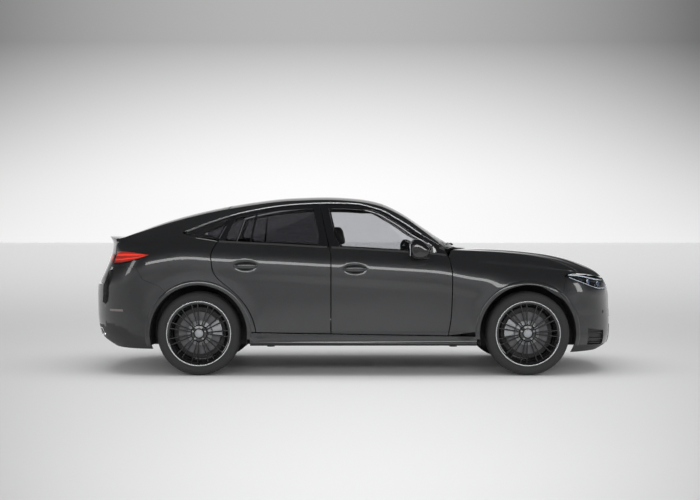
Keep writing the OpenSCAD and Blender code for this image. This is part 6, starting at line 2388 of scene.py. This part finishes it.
    def _calliper(self) -> Shape:
        """Calliper astride the disc."""
        mid = 165.0 if self.axle is Axle.FRONT else 15.0
        turn = (mid - 24, mid + 24)
        shape = arc_block((118, 204), turn, (-6, 4)).join(arc_block((118, 204), turn, (42, 62)))
        return shape.join(arc_block((191, 204), turn, (4, 42)))

    def _shield(self) -> Shape:
        """Splash shield behind the disc: a ring with a turned edge."""
        r = self.shield_r
        return Shape().lathe(np.array([(150, -4), (r, -4), (r + 2, 8), (r, 8), (r - 3, 0), (150, 0)]), 72)


def cushion(lo: Point, hi: Point, lean: Point = (0, 0), puff: float = 0.42, rows: int = 28) -> Shape:
    """A stuffed block between two corners.

    Args:
        lo: Lower corner.
        hi: Upper corner.
        lean: Shift in x and narrowing in y from the bottom to the top.
        puff: Roundness of the corners, from 0.2 for a firm block to 1 for a ball.
        rows: Rows of the mesh.

    Returns:
        The cushion's shape.
    """
    lo, hi = np.asarray(lo, float), np.asarray(hi, float)
    mid, half = (lo + hi) / 2, (hi - lo) / 2
    lat = np.linspace(-math.pi / 2 + 0.02, math.pi / 2 - 0.02, rows)[:, None]
    lon = circle(2 * rows)[None]

    def power(c: Array) -> Array:
        """Signed power that squares the form's corners."""
        return np.sign(c) * abs(c) ** puff

    flat = power(np.cos(lat))
    unit = np.stack([flat * power(np.cos(lon)), flat * power(np.sin(lon)), power(np.sin(lat)) + 0 * lon], -1)
    p = mid + unit * half
    k = (p[..., 2] - lo[2]) / (hi[2] - lo[2])
    p[..., 0] += lean[0] * k
    p[..., 1] = mid[1] + (p[..., 1] - mid[1]) * (1 - lean[1] * k)
    return Shape().tube(p)


@dataclass
class Cabin:
    """Seats, steering wheel, displays and floor covering."""

    palette: Palette

    def build(self) -> None:
        """Makes the cabin's pieces."""
        for side in Side:
            self._front_seat(side)
        self._rear_seat()
        self._steering_wheel()
        self._dash()
        self._floor()

    def _soft(self, name: str, shape: Shape, node: str) -> None:
        """A stuffed piece of a seat."""
        piece = make_piece(name, shape, "body", [self.palette.leather], [node], Finish(0, 1, 60))

    def _front_seat(self, side: Side) -> None:
        """Front seat with bolsters and head rest on a plain base.

        Args:
            side: Side of the car.
        """
        x, y, word = FORM.split_x + 500, side.value * 380.0, side.word
        at = np.array([x, y, 0])
        for name, lo, hi, lean, puff in (
            ("seat_cushion", (-225, -170, 470), (292, 170, 592), (0, 0), 0.42),
            ("seat_back", (-292, -165, 545), (-165, 165, 1130), (-170, 0.1), 0.42),
            ("seat_bolster_a", (-215, -250, 474), (270, -160, 618), (0, 0), 0.6),
            ("back_bolster_a", (-268, -238, 560), (-120, -150, 1080), (-160, 0), 0.6),
            ("seat_bolster_b", (-215, 160, 474), (270, 250, 618), (0, 0), 0.6),
            ("back_bolster_b", (-268, 150, 560), (-120, 238, 1080), (-160, 0), 0.6),
            ("head_rest", (-452, -122, 1150), (-368, 122, 1306), (-34, 0.06), 0.5),
        ):
            self._soft(f"{name}_{word}", cushion(at + lo, at + hi, lean, puff), "front_seats")
        posts = Shape()
        for k in (-60, 60):
            line = np.array([(x - 398, y + k, 1090), (x - 410, y + k, 1130), (x - 418, y + k, 1170)], float)
            posts.join(slat(line, 12, 12))
        posts.block((x - 200, y - 180, 314), (x + 220, y + 180, 478), 1)
        materials = [self.palette.steel, self.palette.satin_black]
        make_piece(f"seat_base_{word}", posts, "body", materials, finish=Finish(8, 3))

    def _rear_seat(self) -> None:
        """Bench with a split back and three head rests."""
        r, z = FORM.axle_r, 520.0
        for k, name in ((-1, "right"), (0, "middle"), (1, "left")):
            y0, y1 = k * 425 - 212, k * 425 + 212
            self._soft(f"bench_{name}", cushion((r + 570, y0, z - 55), (r + 1040, y1, z + 68)), "rear_seat")
            back = cushion((r + 548, y0 * 0.96, z - 10), (r + 662, y1 * 0.96, 1098), (-215, 0.1))
            self._soft(f"bench_back_{name}", back, "rear_seat")
            rest = cushion((r + 326, k * 360 - 110, 1085), (r + 402, k * 360 + 110, 1206), (-24, 0.05), 0.5)
            self._soft(f"rear_head_rest_{name}", rest, "rear_seat")

    def _steering_wheel(self) -> None:
        """Rim, pad and three spokes round the column."""
        p = self.palette
        turn = circle(64)
        ring = circle(16)
        r = 180 + 15 * np.cos(ring)
        rings = np.stack([np.stack([r * math.cos(a), 15 * np.sin(ring), r * math.sin(a)], -1) for a in turn])
        shape = Shape().tube(rings, 0, closed=True)
        pad = np.array([(1, -24), (48, -22), (62, -10), (58, 20), (18, 22), (18, 158), (1, 158)])
        shape.join(Shape().lathe(pad, 40, 1))
        for a in (0, math.pi, -math.pi / 2):
            ahead = np.array([math.cos(a), 0, math.sin(a)])
            line = ahead * np.linspace(50, 172, 8)[:, None]
            shape.join(slat(line, 30, 12) if abs(ahead[0]) > 0.5 else slat(line, 12, 30))
        tilt = math.radians(112)
        axis = np.array([math.sin(tilt), 0, math.cos(tilt)])
        across = np.array([0, 1.0, 0])
        up = np.cross(axis, across)
        basis = np.stack([across, axis, up if up[2] > 0 else -up], 1)
        placed = shape.moved((FORM.axle_f - 1010, 380, 945), basis)
        make_piece(
            "steering_wheel_rim", placed, "steering_wheel", [p.leather, p.cabin], ["steering_wheel"],
            Finish(0, 1, 50),
        )

    def _dash(self) -> None:
        """Soft top pad, displays, air vents and centre console."""
        p, f = self.palette, FORM.axle_f
        pad = cushion((f - 915, -690, 1018), (f - 745, 690, 1050), puff=0.3)
        make_piece("dash_pad", pad, "body", [p.leather], finish=Finish(0, 1, 60))
        screens = Shape().block((f - 926, 230, 1036), (f - 914, 530, 1122))
        screens.block((f - 926, -150, 1000), (f - 914, 150, 1128))
        make_piece("displays", screens, "body", [p.screen], finish=Finish(3, 2))
        vents = Shape()
        for y in (-640, -250, 600):
            for k in range(4):
                vents.block((f - 914, y - 50, 930 + 14 * k), (f - 900, y + 50, 937 + 14 * k))
        make_piece("air_vents", vents, "body", [p.bright], finish=Finish(1.5, 2))
        console = cushion((f - 1290, -105, 412), (f - 800, 105, 610), puff=0.25)
        make_piece("centre_console", console, "body", [p.cabin], finish=Finish(0, 1, 60))

    def _floor(self) -> None:
        """Carpet on the cabin floor and in the luggage space."""
        r, f = FORM.axle_r, FORM.axle_f
        shape = Shape()
        for k in (-1, 1):
            y = sorted((k * 125.0, k * 660.0))
            shape.block((r + 504, y[0], 312.2), (f - 565, y[1], 318))
        shape.block((r - 840, -555, 560.2), (r + 330, 555, 566))
        make_piece("carpet", shape, "body", [self.palette.carpet], finish=Finish(2, 1))


@dataclass
class Studio:
    """Backdrop, lights and camera as in the photo."""

    eye: tuple[float, float, float] = (-0.033, -10.9, 1.18)
    lens: float = 58.7
    shift: float = -0.0129
    wall_y: float = 900.0
    wall_x: float = 700.0
    near_edge: float = 6.8
    half_view: float = 0.307

    def build(self) -> None:
        """Sets up the stage."""
        self._camera()
        self._world()
        self._floor()
        self._wall()
        self._lights()
        bpy.context.scene.view_settings.view_transform = "Standard"

    def _camera(self) -> None:
        """Level camera square to the car's right side."""
        data = bpy.data.cameras.new("camera")
        data.lens, data.sensor_width, data.shift_y = self.lens, 36.0, self.shift
        data.clip_end = 4 * self.wall_y
        camera = bpy.data.objects.new("camera", data)
        camera.location, camera.rotation_euler = self.eye, (math.pi / 2, 0.0, 0.0)
        bpy.context.scene.collection.objects.link(camera)
        bpy.context.scene.camera = camera

    @staticmethod
    def _world() -> None:
        """Pale room: even light for matt surfaces, and a darker ceiling over a bright horizon for gloss."""
        world = bpy.data.worlds.new("studio")
        bpy.context.scene.world = world
        world.use_nodes = True
        book = Book(world.node_tree)
        way = book.node("ShaderNodeTexCoord", {}, {}, "Generated")
        rise = book.node("ShaderNodeSeparateXYZ", {}, {"Vector": way}, "Z")
        room = book.node("ShaderNodeValToRGB", {"stops": (
            (0.0, (0.34, 0.34, 0.345)), (0.5, (0.6, 0.6, 0.61)), (0.53, (0.5, 0.5, 0.51)), (0.6, (0.06, 0.06, 0.063)),
            (1.0, (0.03, 0.03, 0.032)),
        )}, {"Fac": rise * 0.5 + 0.5}, "Color")
        gloss = book.node("ShaderNodeLightPath", {}, {}, "Is Glossy Ray")
        camera = book.node("ShaderNodeLightPath", {}, {}, "Is Camera Ray")
        colour = book.mix(camera, book.mix(gloss, (0.42, 0.42, 0.425), room), (0.84, 0.84, 0.85))
        back = book.node("ShaderNodeBackground", {}, {"Color": colour, "Strength": 1.0}, "Background")
        book.node("ShaderNodeOutputWorld", {}, {"Surface": back})

    def _plane(self, name: str, corners: Sequence[Point], material: bpy.types.Material) -> None:
        """A flat piece of the stage, in metres.

        Args:
            name: Name of the piece.
            corners: Four corners, in metres.
            material: Its material.
        """
        mesh = bpy.data.meshes.new(name)
        mesh.from_pydata([tuple(c) for c in corners], [], [(0, 1, 2, 3)])
        mesh.materials.append(material)
        plane = bpy.data.objects.new(name, mesh)
        bpy.context.scene.collection.objects.link(plane)

    def _floor(self) -> None:
        """Pale floor out to the far wall."""
        far, side = self.wall_y, self.wall_x
        corners = ((-side, -40), (side, -40), (side, far), (-side, far))
        material = new_material("studio_floor", self._floor_shader)
        self._plane("floor", tuple((*c, -0.001) for c in corners), material)

    def _floor_shader(self, book: Book) -> Wire:
        """Floor with painted shade and painted light: grey that darkens to the floor's ends and a little to the camera,
        where more light falls, and a painted glow that grows with distance from the car.

        Args:
            book: The node tree.

        Returns:
            The shader.
        """
        x, y = book.axes("XY")
        nearness = self.near_edge / (y - self.eye[1]).at_least(self.near_edge * 0.7)
        across = (x * nearness / (self.near_edge * self.half_view)).at_most(1.1).at_least(-1.1)
        reach = x * x + y * y
        # Painted shade: the floor's grey darkens toward its ends and toward the camera.
        level = (0.97 - nearness * 0.26) * (1.0 - across * across * (nearness * 0.17 + 0.15))
        return book.node("ShaderNodeBsdfPrincipled", {}, {
            "Base Color": book.mix(book.noise(3.0) * 0.04, level, (0.7, 0.7, 0.7)),
            "Roughness": 0.6, "Specular IOR Level": 0.15,
            # Painted light: the floor glows more the farther it lies from the car.
            "Emission Color": reach / (reach + 60.0) * 0.4, "Emission Strength": 1.0,
        }, "BSDF")

    def _wall(self) -> None:
        """Far wall that gives its own light."""
        far, wide = self.wall_y, self.wall_x
        corners = ((-wide, far, -0.001), (wide, far, -0.001), (wide, far, 300), (-wide, far, 300))
        self._plane("wall", corners, new_material("studio_wall", self._wall_shader))

    def _wall_shader(self, book: Book) -> Wire:
        """Light that is bright low in the middle and greyer to the wall's ends and its top.

        Args:
            book: The node tree.

        Returns:
            The shader.
        """
        x, z = book.axes("XZ")
        reach = (self.wall_y - self.eye[1]) * self.half_view
        across = (x / reach + 0.08).at_most(1.3).at_least(-1.3)
        rise = (z / (reach * 0.547)).at_most(1.05)
        fade = (rise - 0.25).at_least(0.0) / 0.75
        level = (0.985 - fade ** 1.6 * 0.47) * (1.0 - across * across * (rise * 0.4 + 0.13))
        return book.node("ShaderNodeEmission", {}, {"Color": level, "Strength": 1.0}, "Emission")

    @staticmethod
    def _lights() -> None:
        """Soft boxes: a long one on the camera's side, one overhead that gloss doesn't show, one at each end."""
        for name, at, aim, size, power in (
            ("key_light", (0.4, -7.5, 2.75), (0, 0, 0.9), (12.0, 1.1), 240.0),
            ("top_light", (0.0, -0.6, 6.5), (0, -0.2, 0), (9.0, 4.5), 300.0),
            ("nose_light", (7.5, -3.0, 2.6), (1.5, 0, 0.8), (1.0, 2.4), 40.0),
            ("tail_light", (-7.5, -3.0, 2.6), (-1.5, 0, 0.8), (1.0, 2.4), 30.0),
        ):
            data = bpy.data.lights.new(name, "AREA")
            data.shape, data.energy = "RECTANGLE", power
            data.size, data.size_y = size
            light = bpy.data.objects.new(name, data)
            light.location = at
            light.rotation_euler = (Vector(aim) - Vector(at)).to_track_quat("-Z", "Y").to_euler()
            light.visible_camera = False
            light.visible_glossy = name != "top_light"
            bpy.context.scene.collection.objects.link(light)


@dataclass
class Car:
    """The whole car: its sub-assemblies and the finish of the solids left showing."""

    palette: Palette

    def build(self) -> None:
        """Makes every piece."""
        p = self.palette
        for side in Side:
            for axle in Axle:
                Door(axle, side, p).build()
                Wheel(axle, side, p).build()
            SidePanels(side, p).build()
            DoorMirror(side, p).build()
        FuelFlap(p).build()
        for assembly in (FrontEnd, RearEnd, Tailgate, TopSide, Cabin):
            assembly(p).build()
        self._shown_solids()

    def _shown_solids(self) -> None:
        """Gives each solid that stays in view its material."""
        p = self.palette
        finish = {
            "floor_pan": p.under, "side_frame_left": p.satin_black, "side_frame_right": p.satin_black,
            "dashboard": p.cabin, "engine_block": p.alloy, "front_subframe": p.under,
            "rear_axle": p.under, "exhaust": p.pipe,
            "knuckle_left": p.alloy, "knuckle_right": p.alloy,
        }
        for name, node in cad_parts.items():
            if not node.hide_render:
                node.data.materials.clear()
                node.data.materials.append(finish.get(name, p.satin_black))
                log.info("%s stays in view", name)


def main() -> None:
    """Builds the car and its studio."""
    logging.basicConfig(level=logging.INFO, format="%(name)s: %(message)s")
    Car(Palette()).build()
    Studio().build()
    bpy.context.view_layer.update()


if __name__ == "__main__":
    main()
